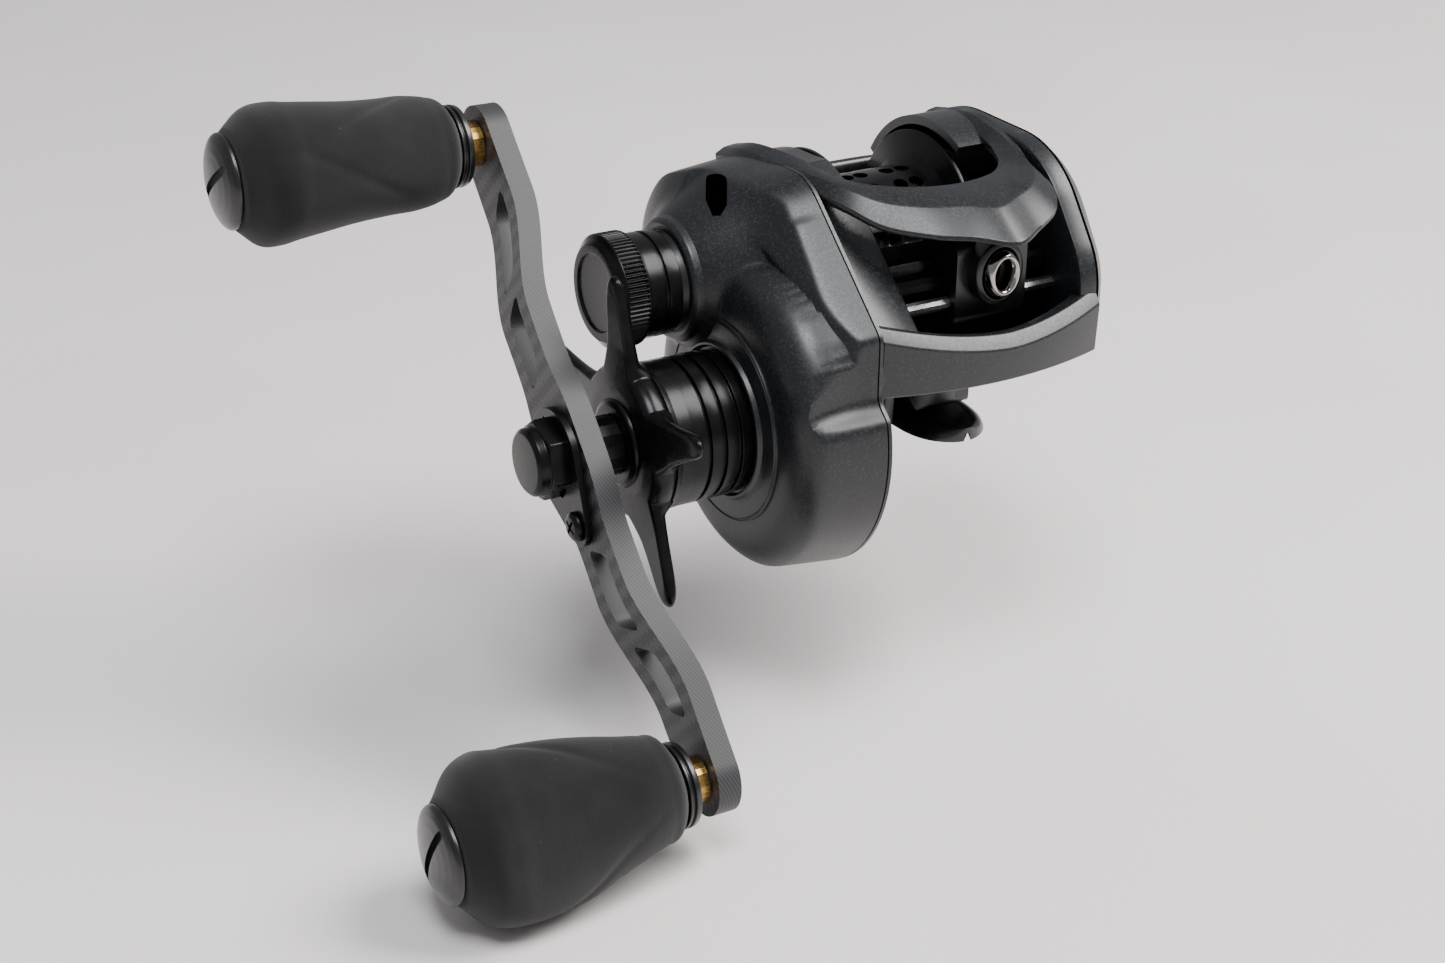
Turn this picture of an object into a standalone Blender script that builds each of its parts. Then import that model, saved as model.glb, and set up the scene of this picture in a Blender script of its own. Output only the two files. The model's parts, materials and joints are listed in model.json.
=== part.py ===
"""Low-profile baitcasting reel, right-hand drive, as an assembly of separate pieces.

Origin: the flat central land of the foot's underside. +X points to the handle side, +Y the way the
line leaves, +Z up. Sizes below are in millimetres and are turned into metres when a mesh is made.
"""

from math import atan2, cos, hypot, pi, radians, sin, sqrt

import bmesh
import bpy
from mathutils import Vector

MM = 0.001

# Fits
GAP = 0.3  # between pieces that only lie beside each other
FIT = 0.15  # round a shaft, a pin or a seat
WALL = 1.6  # thickness of the shells

# Axes that run along X, as (y, z)
DRIVE = (14.5, 3.3)
SPOOL = (2.3, 20.8)
WORM = (22.0, 21.9)
GUIDE_ROD = (26.0, 19.6)

# Stations along X, counted from the middle of the foot
FRAME_PALM = -18.2
PALM_WALL = -15.3
FRAME_HANDLE = 19.5
HANDLE_WALL = 11.8
WALL_PLATE = 2.4
PALM_FACE = -31.5
DISH_FACE = 32.5
BOSS_LIP = 35.5
HANDLE_FACE = 54.3

# Side outlines
FLANGE_R = 15.5
DRIVE_CASE_R = 23.3
SPOOL_CASE_R = FLANGE_R + 2.1
SHOULDER = (7.5, 23.5)
SHOULDER_LESS = 2.5  # how much smaller the shoulder's round is than the spool's
NOSE = (32.5, 18.1)
NOSE_R = 3.0
BROW = (14.0, 22.3)
BROW_R = 16.1
CHEEK = (22.0, 19.8)
CHEEK_R = 11.3
PALM_NOSE = (30.5, 15.0)
PALM_NOSE_R = 2.9
LOBE = (10.0, 7.2)
LOBE_R = 8.0

# Spool
ARBOR_R = 10.6
SPOOL_END = 14.8
SPOOL_PALM = -8.6  # outer face of the palm-side flange
SPOOL_SHAFT_R = 1.5
PORT_R = 1.15
PORTS_ROUND = 8

# Gears: stub teeth, sized from the distance between their axes
MAIN_TEETH = 84
PINION_TEETH = 12
IDLER_TEETH = 62
WORM_TEETH = 18
TOOTH_RISE = 0.28
TOOTH_DEPTH = 0.5

# Handle
HANDLE_ANGLE = -46.4
CRANK_R = 48.0
PLATE_T = 3.4
CRANK_DROP = 3.4
ARM_HALF = 5.3
HUB_R = 6.5
SHAFT_R = 2.5
THREAD_R = 2.9

# Knobs
KNOB_IN = 56.8
KNOB_OUT = 91.1
CAP_R = 6.75
CORE_R = 4.0
SPINDLE_R = 2.0
WIDE_UPPER = 29.0
WIDE_LOWER = 119.0

# Tension cap and star drag
TENSION_R = 7.6
CAP_FACE = 46.2
KNURL_R = 8.25
STAR_R = 10.5
STAR_TIP_R = 23.5
STAR_ARMS = 5
STAR_TURN = 22.0

# Foot
FOOT_LENGTH = 58.0
FOOT_WIDTH = 13.0
FOOT_T = 1.5
FOOT_SAG = 1.2
FOOT_SCREWS = (17.5, -5.8)

# Frame
FLOOR_T = 1.4
CRADLE_R = FLANGE_R + 0.6
COLLAR_ARC = (62, 150)  # the collar over the palm-side flange, in degrees about the spool's axis
CRADLE_PALM = -16.5
BAR_Z = 10.6
BAR_TOP_END = 19.3
BAR_TOP_MIDDLE = 16.0
POST_HALF = 4.5
POST_Y = (12.5, 22.5)
HEEL_Y = (-8.5, -3.0)
POST_SINK = 0.7  # how far the posts reach into the cradle
COVER_SCREWS = ((31.2, 15.9), (-9.9, 10.2))

# Bearings, bushes, rods and screws: radii, and where they lie along X
BEARING_R = 4.0
BUSH_R = 2.6
ROD_R = 1.0
ROD_PALM = -17.8
SCREW_R = 1.0
ROLLER_R = 7.0
ROLLER = (25.6, 31.2)
SPOOL_BEARING_R = 5.0
HANDLE_BEARING = (33.0, 36.0)
PALM_BEARING = (-26.5, -23.5)
PINION_BEARING = (25.2, 27.2)
PINION_BEARING_R = 4.5
SPOOL_SHAFT = (-26.4, 38.2)

# Side plates, brake magnets and dial
DISH_HOLE_R = 5.6
THREAD_END = 41.0
COVER_SCREW_FRONT = 22.3
CUP_BACK = -28.0
MAGNETS = (-22.5, -19.8)
MAGNET_R = 9.8
MAGNET_BORE = 8.3
DIAL_AXIS = (-2.5, 16.0)
DIAL_R = 6.0
DIAL = (-32.1, -30.1)

# Gears, worm and pinion
MAIN_X = (19.0, 21.2)
TRAIN_X = (15.4, 16.7)
PINION_X = (17.7, 23.4)
PINION_TAIL_R = 2.3
PINION_TAIL_END = 28.4
WORM_JOURNAL_R = 1.4
WORM_R = 2.1
WORM_X = (-17.6, 17.4)
GUARD_R = 2.75
GUARD_BORE = 2.35
PAWL_R = 1.0

# Drive shaft
SHAFT_START = 11.9
SHAFT_STEP = 14.9
SHAFT_JOURNAL_R = 1.9
SLEEVE_R = 4.05
THREAD_START = 33.2
NUT_THREAD_R = 2.3
NUT_THREAD_START = 57.9
SHAFT_END = 61.0
SPACER = (50.2, HANDLE_FACE - GAP)

# Handle plate, nut and retainer
ARM_SLOTS = ((-22.5, -11.0), (-38.5, -25.5), (15.0, 26.0), (29.0, 39.0))
ARM_SLOT_HALF = 2.3
NUT_FLAT = 5.0
NUT_BACK = HANDLE_FACE + PLATE_T + GAP
NUT_SHOULDER = 61.6
NUT_FRONT = 63.5
NUT_CROWN_R = 4.8
RETAINER_REACH = 10.3
RETAINER = (NUT_BACK + 0.1, NUT_BACK + 1.1)

# Star
STAR_BARREL_X = 33.3
STAR_GROOVES = (35.2, 39.4)
STAR_GROOVE = 0.5
STAR_BACK = CAP_FACE + 0.4  # the arms pass in front of the tension cap

# Grips: distance inward from the rim, half width across the thin way, half width across the wide way
GRIP_STATIONS = (
    (0.0, 6.9, 6.9), (2.6, 9.2, 10.2), (5.7, 9.6, 11.6), (11.0, 8.9, 11.5), (17.0, 8.3, 10.8),
    (24.0, 8.1, 9.0), (28.5, 7.6, 7.8), (31.5, 6.4, 6.6),
)

# Line guide
LINE_RING = (-3.1, 31.0, 24.4)
CARRIAGE = (-9.3, 2.7)
CARRIAGE_BACK = SPOOL[0] + FLANGE_R + 0.4  # clear of the spool's flanges at both ends of its travel


def clear_scene():
    for obj in list(bpy.data.objects):
        bpy.data.objects.remove(obj, do_unlink=True)


def material(name, colour, roughness, metallic):
    found = bpy.data.materials.get(name)
    if found:
        return found
    made = bpy.data.materials.new(name)
    made.use_nodes = True
    shader = made.node_tree.nodes["Principled BSDF"]
    shader.inputs["Base Color"].default_value = (*colour, 1.0)
    shader.inputs["Roughness"].default_value = roughness
    shader.inputs["Metallic"].default_value = metallic
    return made


def body_paint():
    return material("body_paint", (0.022, 0.024, 0.028), 0.4, 0.3)


def foot_paint():
    return material("foot_paint", (0.015, 0.015, 0.016), 0.3, 0.2)


def black_anodised():
    return material("black_anodised", (0.02, 0.02, 0.022), 0.3, 0.8)


def carbon():
    return material("carbon_fibre", (0.09, 0.09, 0.095), 0.45, 0.1)


def foam():
    return material("eva_foam", (0.014, 0.014, 0.014), 0.9, 0.0)


def black_plastic():
    return material("black_plastic", (0.015, 0.015, 0.017), 0.35, 0.0)


def steel():
    return material("steel", (0.55, 0.55, 0.56), 0.3, 1.0)


def brass():
    return material("brass", (0.62, 0.45, 0.2), 0.3, 1.0)


def drag_carbon():
    return material("drag_carbon", (0.05, 0.05, 0.05), 0.7, 0.0)


def dark_chrome():
    return material("dark_chrome", (0.18, 0.18, 0.19), 0.12, 1.0)


def empty(name, at, turn=0.0, parent=None):
    made = bpy.data.objects.new(name, None)
    bpy.context.scene.collection.objects.link(made)
    made.parent = parent
    made.location = Vector(at) * MM
    made.rotation_euler = (radians(turn), 0, 0)
    return made


def finish(name, mesh, look, at=(0, 0, 0), parent=None, turn=0.0):
    """One object from a bmesh in metres, with its normals out and its round faces smooth."""
    bmesh.ops.remove_doubles(mesh, verts=mesh.verts, dist=1e-7)
    bmesh.ops.recalc_face_normals(mesh, faces=mesh.faces)
    data = bpy.data.meshes.new(name)
    mesh.to_mesh(data)
    mesh.free()
    data.materials.append(look)
    data.shade_smooth()
    data.set_sharp_from_angle(angle=radians(35))
    made = bpy.data.objects.new(name, data)
    bpy.context.scene.collection.objects.link(made)
    made.parent = parent
    made.location = Vector(at) * MM
    made.rotation_euler = (radians(turn), 0, 0)
    return made


def on_axis(axis):
    return (0, axis[0], axis[1])


def turned(name, outline, look, at=(0, 0, 0), parent=None, steps=22, turn=0.0):
    """A piece turned about the X axis through its origin; outline is a closed run of (x, radius)."""
    mesh = bmesh.new()
    points = [mesh.verts.new((x * MM, 0, r * MM)) for x, r in outline]
    edges = []
    for first, second in zip(points, points[1:] + points[:1]):
        if first.co.z or second.co.z:
            edges.append(mesh.edges.new((first, second)))
    bmesh.ops.spin(
        mesh, geom=points + edges, cent=(0, 0, 0), axis=(1, 0, 0), angle=2 * pi, steps=steps, use_merge=True
    )
    return finish(name, mesh, look, at, parent, turn)


def rod(x0, x1, radius, inner=0.0):
    """Turned outline of a rod, or of a tube where inner is given."""
    return [(x0, inner), (x0, radius), (x1, radius), (x1, inner)]


def lofted(name, rings, look, at=(0, 0, 0), parent=None, turn=0.0):
    """A skin through rings of equal point counts, closed by a flat cap at each end."""
    mesh = bmesh.new()
    loops = [[mesh.verts.new(Vector(point) * MM) for point in ring] for ring in rings]
    count = len(loops[0])
    for low, high in zip(loops, loops[1:]):
        for i in range(count):
            j = (i + 1) % count
            mesh.faces.new((low[i], low[j], high[j], high[i]))
    mesh.faces.new(loops[0][::-1])
    mesh.faces.new(loops[-1])
    return finish(name, mesh, look, at, parent, turn)


def prism(name, outline, x0, x1, look, at=(0, 0, 0), parent=None, turn=0.0):
    """An outline of (y, z) points drawn out along X."""
    rings = [[(x, y, z) for y, z in outline] for x in (x0, x1)]
    return lofted(name, rings, look, at, parent, turn)


def box(name, low, high, look, at=(0, 0, 0), parent=None):
    outline = [(low[1], low[2]), (high[1], low[2]), (high[1], high[2]), (low[1], high[2])]
    return prism(name, outline, low[0], high[0], look, at, parent)


def arc(centre, radius, start, end, steps):
    angles = [radians(start + (end - start) * i / steps) for i in range(steps + 1)]
    return [(centre[0] + radius * cos(a), centre[1] + radius * sin(a)) for a in angles]


def slot_outline(start, end, half, steps=5):
    """A slot with round ends from start to end along Y, centred on z = 0."""
    return arc((start + half, 0), half, 90, 270, steps) + arc((end - half, 0), half, -90, 90, steps)


def hull(circles, count=36):
    """The tight outline round circles of (centre, radius): for each direction, the farthest point."""
    points = []
    for i in range(count):
        way = (cos(2 * pi * i / count), sin(2 * pi * i / count))
        centre, radius = max(circles, key=lambda c: c[0][0] * way[0] + c[0][1] * way[1] + c[1])
        points.append((centre[0] + radius * way[0], centre[1] + radius * way[1]))
    return points


def shell_rings(stations, count=36):
    """Rings for a loft from stations of (x, circles)."""
    return [[(x, y, z) for y, z in hull(circles, count)] for x, circles in stations]


def gear_outline(teeth, pitch_r, phase, rise=TOOTH_RISE, depth=TOOTH_DEPTH):
    """Pointed stub teeth on a pitch circle; phase is the angle of one tooth's middle."""
    step = 2 * pi / teeth
    outline = []
    for i in range(teeth):
        middle = phase + i * step
        for share, radius in ((-0.26, -depth), (0.0, rise), (0.26, -depth)):
            angle = middle + share * step
            outline.append(((pitch_r + radius) * cos(angle), (pitch_r + radius) * sin(angle)))
    return outline


SHALLOW_CUTS = ("handle_side_plate", "palm_side_plate", "spool")


def use(target, tool, operation):
    """A Boolean of target with tool, applied, after which the tool is removed.

    The exact solver leaves open edges where surfaces cross at shallow angles, so those bodies take
    the manifold one.
    """
    modifier = target.modifiers.new(operation.lower(), "BOOLEAN")
    modifier.solver = "MANIFOLD" if target.name in SHALLOW_CUTS else "EXACT"
    modifier.operation = operation
    modifier.object = tool
    bpy.context.view_layer.update()
    graph = bpy.context.evaluated_depsgraph_get()
    result = bpy.data.meshes.new_from_object(target.evaluated_get(graph))
    target.modifiers.clear()
    old = target.data
    target.data = result
    bpy.data.meshes.remove(old)
    bpy.data.objects.remove(tool, do_unlink=True)


def cut(target, tool):
    use(target, tool, "DIFFERENCE")


def join(target, tool):
    use(target, tool, "UNION")


def bore(target, axis, x0, x1, radius, steps=18):
    """A round hole along X at (y, z)."""
    tool = turned("tool", rod(x0, x1, radius), target.data.materials[0], on_axis(axis), target.parent, steps)
    cut(target, tool)


def distance(first, second):
    return hypot(second[0] - first[0], second[1] - first[1])


def heading(first, second):
    return atan2(second[1] - first[1], second[0] - first[0])


def handle_case(x, drive_r, spool_r, nose=NOSE, nose_r=NOSE_R):
    return (x, [(DRIVE, drive_r), (SPOOL, spool_r), (SHOULDER, spool_r - SHOULDER_LESS), (nose, nose_r)])


def palm_case(x, inward=0.0):
    """The palm side's outline, drawn in by a wall's thickness where asked."""
    rounds = (SPOOL, SPOOL_CASE_R), (BROW, BROW_R), (CHEEK, CHEEK_R), (PALM_NOSE, PALM_NOSE_R), (LOBE, LOBE_R)
    return (x, [(centre, radius - inward) for centre, radius in rounds])


# Frame ---------------------------------------------------------------------------------------

def gear_tray():
    """Handle-side wall: a plate against the spool with a rim that holds the gears."""
    whole = [handle_case(x, DRIVE_CASE_R, SPOOL_CASE_R) for x in (HANDLE_WALL, FRAME_HANDLE - GAP / 2)]
    body = lofted("frame", shell_rings(whole), body_paint())
    inside = (DRIVE_CASE_R - WALL, SPOOL_CASE_R - WALL, NOSE, NOSE_R - WALL)
    hollow = [handle_case(x, *inside) for x in (HANDLE_WALL + WALL_PLATE, FRAME_HANDLE + 2)]
    cut(body, lofted("tool", shell_rings(hollow), body_paint()))
    return body


def front_bar_rings():
    """Thin in the middle and bulging forward, tall where it meets the sides."""
    rings = []
    reach = HANDLE_WALL + 1.0
    for x in (-reach - 5.0, -10.5, -6.0, -1.0, 5.0, reach):
        share = max(0.0, 1 - (abs(x + 1.0) / 13.0) ** 2)
        front = 33.9 + 3.4 * share
        foot_y = 33.4 + 1.9 * share
        top = BAR_TOP_END + (BAR_TOP_MIDDLE - BAR_TOP_END) * share
        back = 30.4 + 2.2 * share
        rings.append(
            [(x, back, BAR_Z), (x, foot_y, BAR_Z), (x, front, top - 1.4), (x, front - 1.2, top), (x, back, top)]
        )
    return rings


def frame():
    look = body_paint()
    body = gear_tray()
    ring = [palm_case(x) for x in (FRAME_PALM + GAP / 2, PALM_WALL)]
    palm_ring = lofted("palm_ring", shell_rings(ring), look)
    join(palm_ring, lofted("tool", front_bar_rings(), look))
    join(body, palm_ring)
    cradle = arc(SPOOL, CRADLE_R + FLOOR_T, 215, 304, 14) + arc(SPOOL, CRADLE_R, 304, 215, 14)
    join(body, prism("tool", cradle, CRADLE_PALM, HANDLE_WALL + 1, look))
    collar = arc(SPOOL, SPOOL_CASE_R - 0.1, *COLLAR_ARC, 14) + arc(SPOOL, CRADLE_R + 0.05, *COLLAR_ARC[::-1], 14)
    join(body, prism("tool", collar, CRADLE_PALM, SPOOL_PALM - GAP, look))
    start = arc(SPOOL, CRADLE_R + 0.1, 302, 303, 1)[0]
    under = (start[0] + 0.4, start[1] - FLOOR_T)
    front = (31.6, BAR_Z)
    floor = [start, (31.0, BAR_Z + FLOOR_T), front, under]
    join(body, prism("tool", floor, CRADLE_PALM, HANDLE_WALL + 1, look))
    low = FOOT_T + GAP
    rise = (front[1] - under[1]) / (front[0] - under[0])
    tops = [under[1] + rise * (y - under[0]) + POST_SINK for y in POST_Y]
    post = [(POST_Y[0], low), (POST_Y[1], low), (POST_Y[1], tops[1]), (POST_Y[0], tops[0])]
    join(body, prism("tool", post, -POST_HALF, POST_HALF, look))
    outer = CRADLE_R + FLOOR_T
    tops = [SPOOL[1] - sqrt(outer**2 - (y - SPOOL[0]) ** 2) + POST_SINK for y in HEEL_Y]
    heel = [(HEEL_Y[0], low), (HEEL_Y[1], low), (HEEL_Y[1], tops[1]), (HEEL_Y[0], tops[0])]
    join(body, prism("tool", heel, -POST_HALF, POST_HALF, look))
    bore(body, SPOOL, FRAME_PALM - 1, -14, CRADLE_R, 36)
    bore(body, SPOOL, HANDLE_WALL - 1, HANDLE_WALL + 4, 4.2)
    bore(body, DRIVE, HANDLE_WALL - 1, HANDLE_WALL + 4, BEARING_R + FIT)
    for axis, radius in ((WORM, BUSH_R + FIT), (GUIDE_ROD, ROD_R + FIT)):
        bore(body, axis, FRAME_PALM - 1, -14, radius)
        bore(body, axis, HANDLE_WALL - 1, HANDLE_WALL + 4, radius)
    for spot in COVER_SCREWS:
        bore(body, spot, HANDLE_WALL - 1, FRAME_HANDLE + 1, SCREW_R + FIT, 16)
    return body


def foot_rings(grow=0.0):
    """A long saddle: a flat land along the middle of its underside, with the edges curving down."""
    rings = []
    half_length = FOOT_LENGTH / 2
    for share in (-1.0, -0.93, -0.7, -0.3, 0.0, 0.3, 0.7, 0.93, 1.0):
        y = share * half_length
        half = FOOT_WIDTH / 2 * (1 - 0.35 * abs(share) ** 8)
        thick = FOOT_T * (1 - 0.45 * abs(share) ** 2) + grow
        land = 3.0 * half / (FOOT_WIDTH / 2)
        rings.append(
            [
                (-half, y, -FOOT_SAG),
                (-land, y, 0),
                (land, y, 0),
                (half, y, -FOOT_SAG),
                (half, y, -FOOT_SAG + thick * 0.8),
                (land, y, thick),
                (-land, y, thick),
                (-half, y, -FOOT_SAG + thick * 0.8),
            ]
        )
    return rings


def upright(name, outline, look, x, y, steps=10):
    """A piece turned about the vertical through (x, y); outline is a closed run of (height, radius)."""
    mesh = bmesh.new()
    points = [mesh.verts.new((r * MM, 0, z * MM)) for z, r in outline]
    edges = []
    for first, second in zip(points, points[1:] + points[:1]):
        if first.co.x or second.co.x:
            edges.append(mesh.edges.new((first, second)))
    bmesh.ops.spin(
        mesh, geom=points + edges, cent=(0, 0, 0), axis=(0, 0, 1), angle=2 * pi, steps=steps, use_merge=True
    )
    return finish(name, mesh, look, (x, y, 0))


def foot(body):
    look = foot_paint()
    plate = lofted("reel_foot", foot_rings(), look)
    for y in FOOT_SCREWS:
        cut(plate, upright("tool", [(-1, 0), (-1, 2.2), (0.7, 2.2), (0.7, 1.2), (3, 1.2), (3, 0)], look, 0, y))
        cut(body, upright("tool", [(0, 0), (0, 1.2), (4.6, 1.2), (4.6, 0)], look, 0, y))
    for name, y in zip(("foot_screw_front", "foot_screw_rear"), FOOT_SCREWS):
        upright(name, [(0.1, 0), (0.1, 2.0), (0.55, 2.0), (0.55, 1.0), (4.3, 1.0), (4.3, 0)], steel(), 0, y)


def hood():
    """The bridge over the line window: a blunt V nose in front, hollowed behind above the spool."""
    rings = []
    for x in (-15.1, -12.0, -8.0, -4.5, -1.5, 1.5, 5.0, 8.5, HANDLE_WALL - GAP):
        off = abs(x + 1.5)
        front_y = 37.3 - 0.72 * off - 1.2 * max(0.0, off - 10.0)
        front_z = 31.6 + 0.12 * off
        back_y = 23.4 - 0.0042 * off**3
        back_z = 36.0 + 0.007 * off**2
        crest_y = 0.45 * back_y + 0.55 * front_y
        crest_z = 0.5 * back_z + 0.5 * front_z + 1.0
        rings.append(
            [
                (x, back_y, back_z),
                (x, crest_y, crest_z),
                (x, front_y, front_z),
                (x, front_y - 1.0, front_z - 1.5),
                (x, crest_y, crest_z - 1.8),
                (x, back_y, back_z - 1.5),
            ]
        )
    return lofted("top_hood", rings, body_paint())


# Side plates ---------------------------------------------------------------------------------

def handle_cover():
    look = body_paint()
    low = FRAME_HANDLE + GAP / 2
    outer = [
        handle_case(low, DRIVE_CASE_R, SPOOL_CASE_R),
        handle_case(22.0, DRIVE_CASE_R - 0.1, SPOOL_CASE_R - 0.2, NOSE, NOSE_R - 0.4),
        (24.5, [(DRIVE, DRIVE_CASE_R - 0.5), ((1.5, 20.2), 16.6), ((5.5, 21.5), 13.6), ((29.0, 16.5), 2.4)]),
        (27.0, [(DRIVE, DRIVE_CASE_R - 1.4), ((0.5, 19.5), 15.6), ((25.0, 14.0), 2.0)]),
        (29.2, [(DRIVE, DRIVE_CASE_R - 2.8), ((0.0, 19.0), 13.6), ((21.0, 11.0), 2.0)]),
    ]
    body = lofted("handle_side_plate", shell_rings(outer), look)
    dome = [(20, 0), (20, 19.9), (29.4, 19.9), (30.8, 19.0), (31.9, 17.2), (DISH_FACE, 14.8), (DISH_FACE, 0)]
    join(body, turned("tool", dome, look, on_axis(DRIVE), steps=36))
    boss = [(20, 0), (20, 9.4), (31, 9.4), (33.6, 8.6), (BOSS_LIP, 8.6), (BOSS_LIP, 0)]
    join(body, turned("tool", boss, look, on_axis(SPOOL), steps=26))
    thread = rod(BOSS_LIP - 1, THREAD_END, SPOOL_BEARING_R + FIT + 1.0)
    join(body, turned("tool", thread, look, on_axis(SPOOL), steps=22))
    inner = [
        handle_case(low - 2, DRIVE_CASE_R - WALL, SPOOL_CASE_R - WALL, NOSE, NOSE_R - WALL),
        handle_case(21.4, DRIVE_CASE_R - WALL, SPOOL_CASE_R - WALL - 0.6, NOSE, NOSE_R - WALL - 0.2),
        handle_case(23.6, DRIVE_CASE_R - WALL - 0.5, SPOOL_CASE_R - WALL - 2.0, (29.0, 16.5), 0.9),
        handle_case(25.2, DRIVE_CASE_R - WALL - 1.6, SPOOL_CASE_R - WALL - 5.0, (24.0, 13.0), 0.8),
    ]
    cut(body, lofted("tool", shell_rings(inner, 28), look))
    for spot in COVER_SCREWS:
        join(body, turned("tool", rod(low + 0.5, 24.1, 1.9), look, on_axis(spot), steps=10))
        bore(body, spot, low - 1, COVER_SCREW_FRONT + GAP, SCREW_R + FIT, 12)
    bore(body, DRIVE, 24, ROLLER[1] + 0.4, ROLLER_R + FIT, 26)
    bore(body, DRIVE, 30, DISH_FACE + 1, DISH_HOLE_R, 24)
    bore(body, SPOOL, 20, PINION_BEARING[1] + FIT, PINION_BEARING_R + FIT, 22)
    bore(body, SPOOL, PINION_BEARING[1] - 1, HANDLE_BEARING[0], PINION_TAIL_R + 0.6, 16)
    bore(body, SPOOL, HANDLE_BEARING[0] - FIT, 42, SPOOL_BEARING_R + FIT, 22)
    groove = [(DISH_FACE - 0.4, 13.9), (DISH_FACE - 0.4, 14.4), (DISH_FACE + 1, 14.4), (DISH_FACE + 1, 13.9)]
    cut(body, turned("tool", groove, look, on_axis(DRIVE), steps=36))
    oiling = arc((3.9, 33.5), 1.25, 0, 180, 5) + [(2.65, 30.6), (5.15, 30.6)]
    cut(body, prism("tool", oiling, 18, 34, look))
    return body


def palm_plate():
    look = body_paint()
    high = FRAME_PALM - GAP / 2
    outer = [
        (PALM_FACE, [(DIAL_AXIS, 7.6), ((3.5, 13.0), 4.0)]),
        (PALM_FACE + 1.0, [(DIAL_AXIS, 9.6), ((7.0, 12.0), 4.6)]),
        (-28.0, [((-1.5, 17.2), 12.5), ((5.5, 16.6), 10.0), ((14.0, 12.8), 3.0), ((7.5, 9.0), 6.0)]),
        (-25.0, [((0.0, 18.8), 14.6), ((12.0, 18.4), 10.6), ((20.8, 14.2), 2.8), ((8.8, 8.2), 6.9)]),
        (-22.0, [((1.3, 20.0), 16.0), ((12.5, 21.0), 14.2), ((19.3, 18.8), 9.9), ((26.5, 14.5), 2.8), ((9.5, 7.6), 7.5)]),
        palm_case(high),
    ]
    body = lofted("palm_side_plate", shell_rings(outer), look)
    inner = [
        (-28.6, [(DIAL_AXIS, 8.5), ((5.0, 12.5), 3.4)]),
        (-25.0, [((0.0, 18.8), 12.6), ((12.0, 18.4), 8.8), ((8.8, 8.2), 5.1)]),
        (-22.0, [((1.3, 20.0), 14.4), ((12.5, 21.0), 12.6), ((19.3, 18.8), 8.3), ((9.5, 7.6), 5.9)]),
        palm_case(high + 2, WALL),
    ]
    cut(body, lofted("tool", shell_rings(inner, 28), look))
    cup = turned("tool_cup", rod(CUP_BACK, PALM_BEARING[1], SPOOL_BEARING_R + FIT + 1.2), look, on_axis(SPOOL))
    join(body, cup)
    holder = rod(MAGNETS[0] - 2.5, MAGNETS[1], MAGNET_R + FIT + 1.2, MAGNET_R + FIT)
    join(body, turned("tool", holder, look, on_axis(SPOOL)))
    bore(body, SPOOL, PALM_BEARING[0] - FIT, -20, SPOOL_BEARING_R + FIT, 22)
    pocket = [(PALM_FACE - 1, 0), (PALM_FACE - 1, DIAL_R + FIT), (DIAL[1] + FIT, DIAL_R + FIT), (DIAL[1] + FIT, 0)]
    cut(body, turned("tool", pocket, look, on_axis(DIAL_AXIS), steps=26))
    return body


def small_fixed_pieces():
    metal = steel()
    dark = black_anodised()
    turned("anti_reverse_bearing", rod(*ROLLER, ROLLER_R, SLEEVE_R + FIT), metal, on_axis(DRIVE), steps=24)
    bearing = rod(HANDLE_WALL, HANDLE_WALL + WALL_PLATE, BEARING_R, SHAFT_JOURNAL_R + FIT)
    turned("drive_shaft_bearing", bearing, metal, on_axis(DRIVE), steps=16)
    ring = rod(*HANDLE_BEARING, SPOOL_BEARING_R, SPOOL_SHAFT_R + FIT)
    turned("spool_bearing_handle", ring, metal, on_axis(SPOOL), steps=18)
    ring = rod(*PALM_BEARING, SPOOL_BEARING_R, SPOOL_SHAFT_R + FIT)
    turned("spool_bearing_palm", ring, metal, on_axis(SPOOL), steps=18)
    ring = rod(*PINION_BEARING, PINION_BEARING_R, PINION_TAIL_R + FIT)
    turned("pinion_bearing", ring, metal, on_axis(SPOOL), steps=18)
    turned("brake_magnet_ring", rod(*MAGNETS, MAGNET_R, MAGNET_BORE), dark, on_axis(SPOOL), steps=22)
    bush = rod(FRAME_PALM + 0.4, -15.6, BUSH_R, WORM_JOURNAL_R + FIT)
    turned("worm_bush_palm", bush, brass(), on_axis(WORM), steps=14)
    bush = rod(HANDLE_WALL, HANDLE_WALL + WALL_PLATE, BUSH_R, WORM_JOURNAL_R + FIT)
    turned("worm_bush_handle", bush, brass(), on_axis(WORM), steps=14)
    turned("guide_rod", rod(ROD_PALM, HANDLE_WALL + 2.0, ROD_R), metal, on_axis(GUIDE_ROD), steps=10)
    for name, spot in zip(("cover_screw_front", "cover_screw_rear"), COVER_SCREWS):
        start = FRAME_HANDLE - 5.5
        head = [(start, 0), (start, SCREW_R), (COVER_SCREW_FRONT, SCREW_R), (COVER_SCREW_FRONT, 0)]
        turned(name, head, metal, on_axis(spot), steps=10)


def worm_guard():
    """A tube round the worm, open along its lower side for the pawl."""
    look = black_anodised()
    tube = rod(PALM_WALL + GAP, HANDLE_WALL - GAP, GUARD_R, GUARD_BORE)
    guard = turned("worm_guard", tube, look, on_axis(WORM), steps=18)
    slot = (-13.4, WORM[0] - 0.9, WORM[1] - 4), (10.0, WORM[0] + 0.9, WORM[1] - 1)
    cut(guard, box("tool", *slot, look))


# Spool body ----------------------------------------------------------------------------------


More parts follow.
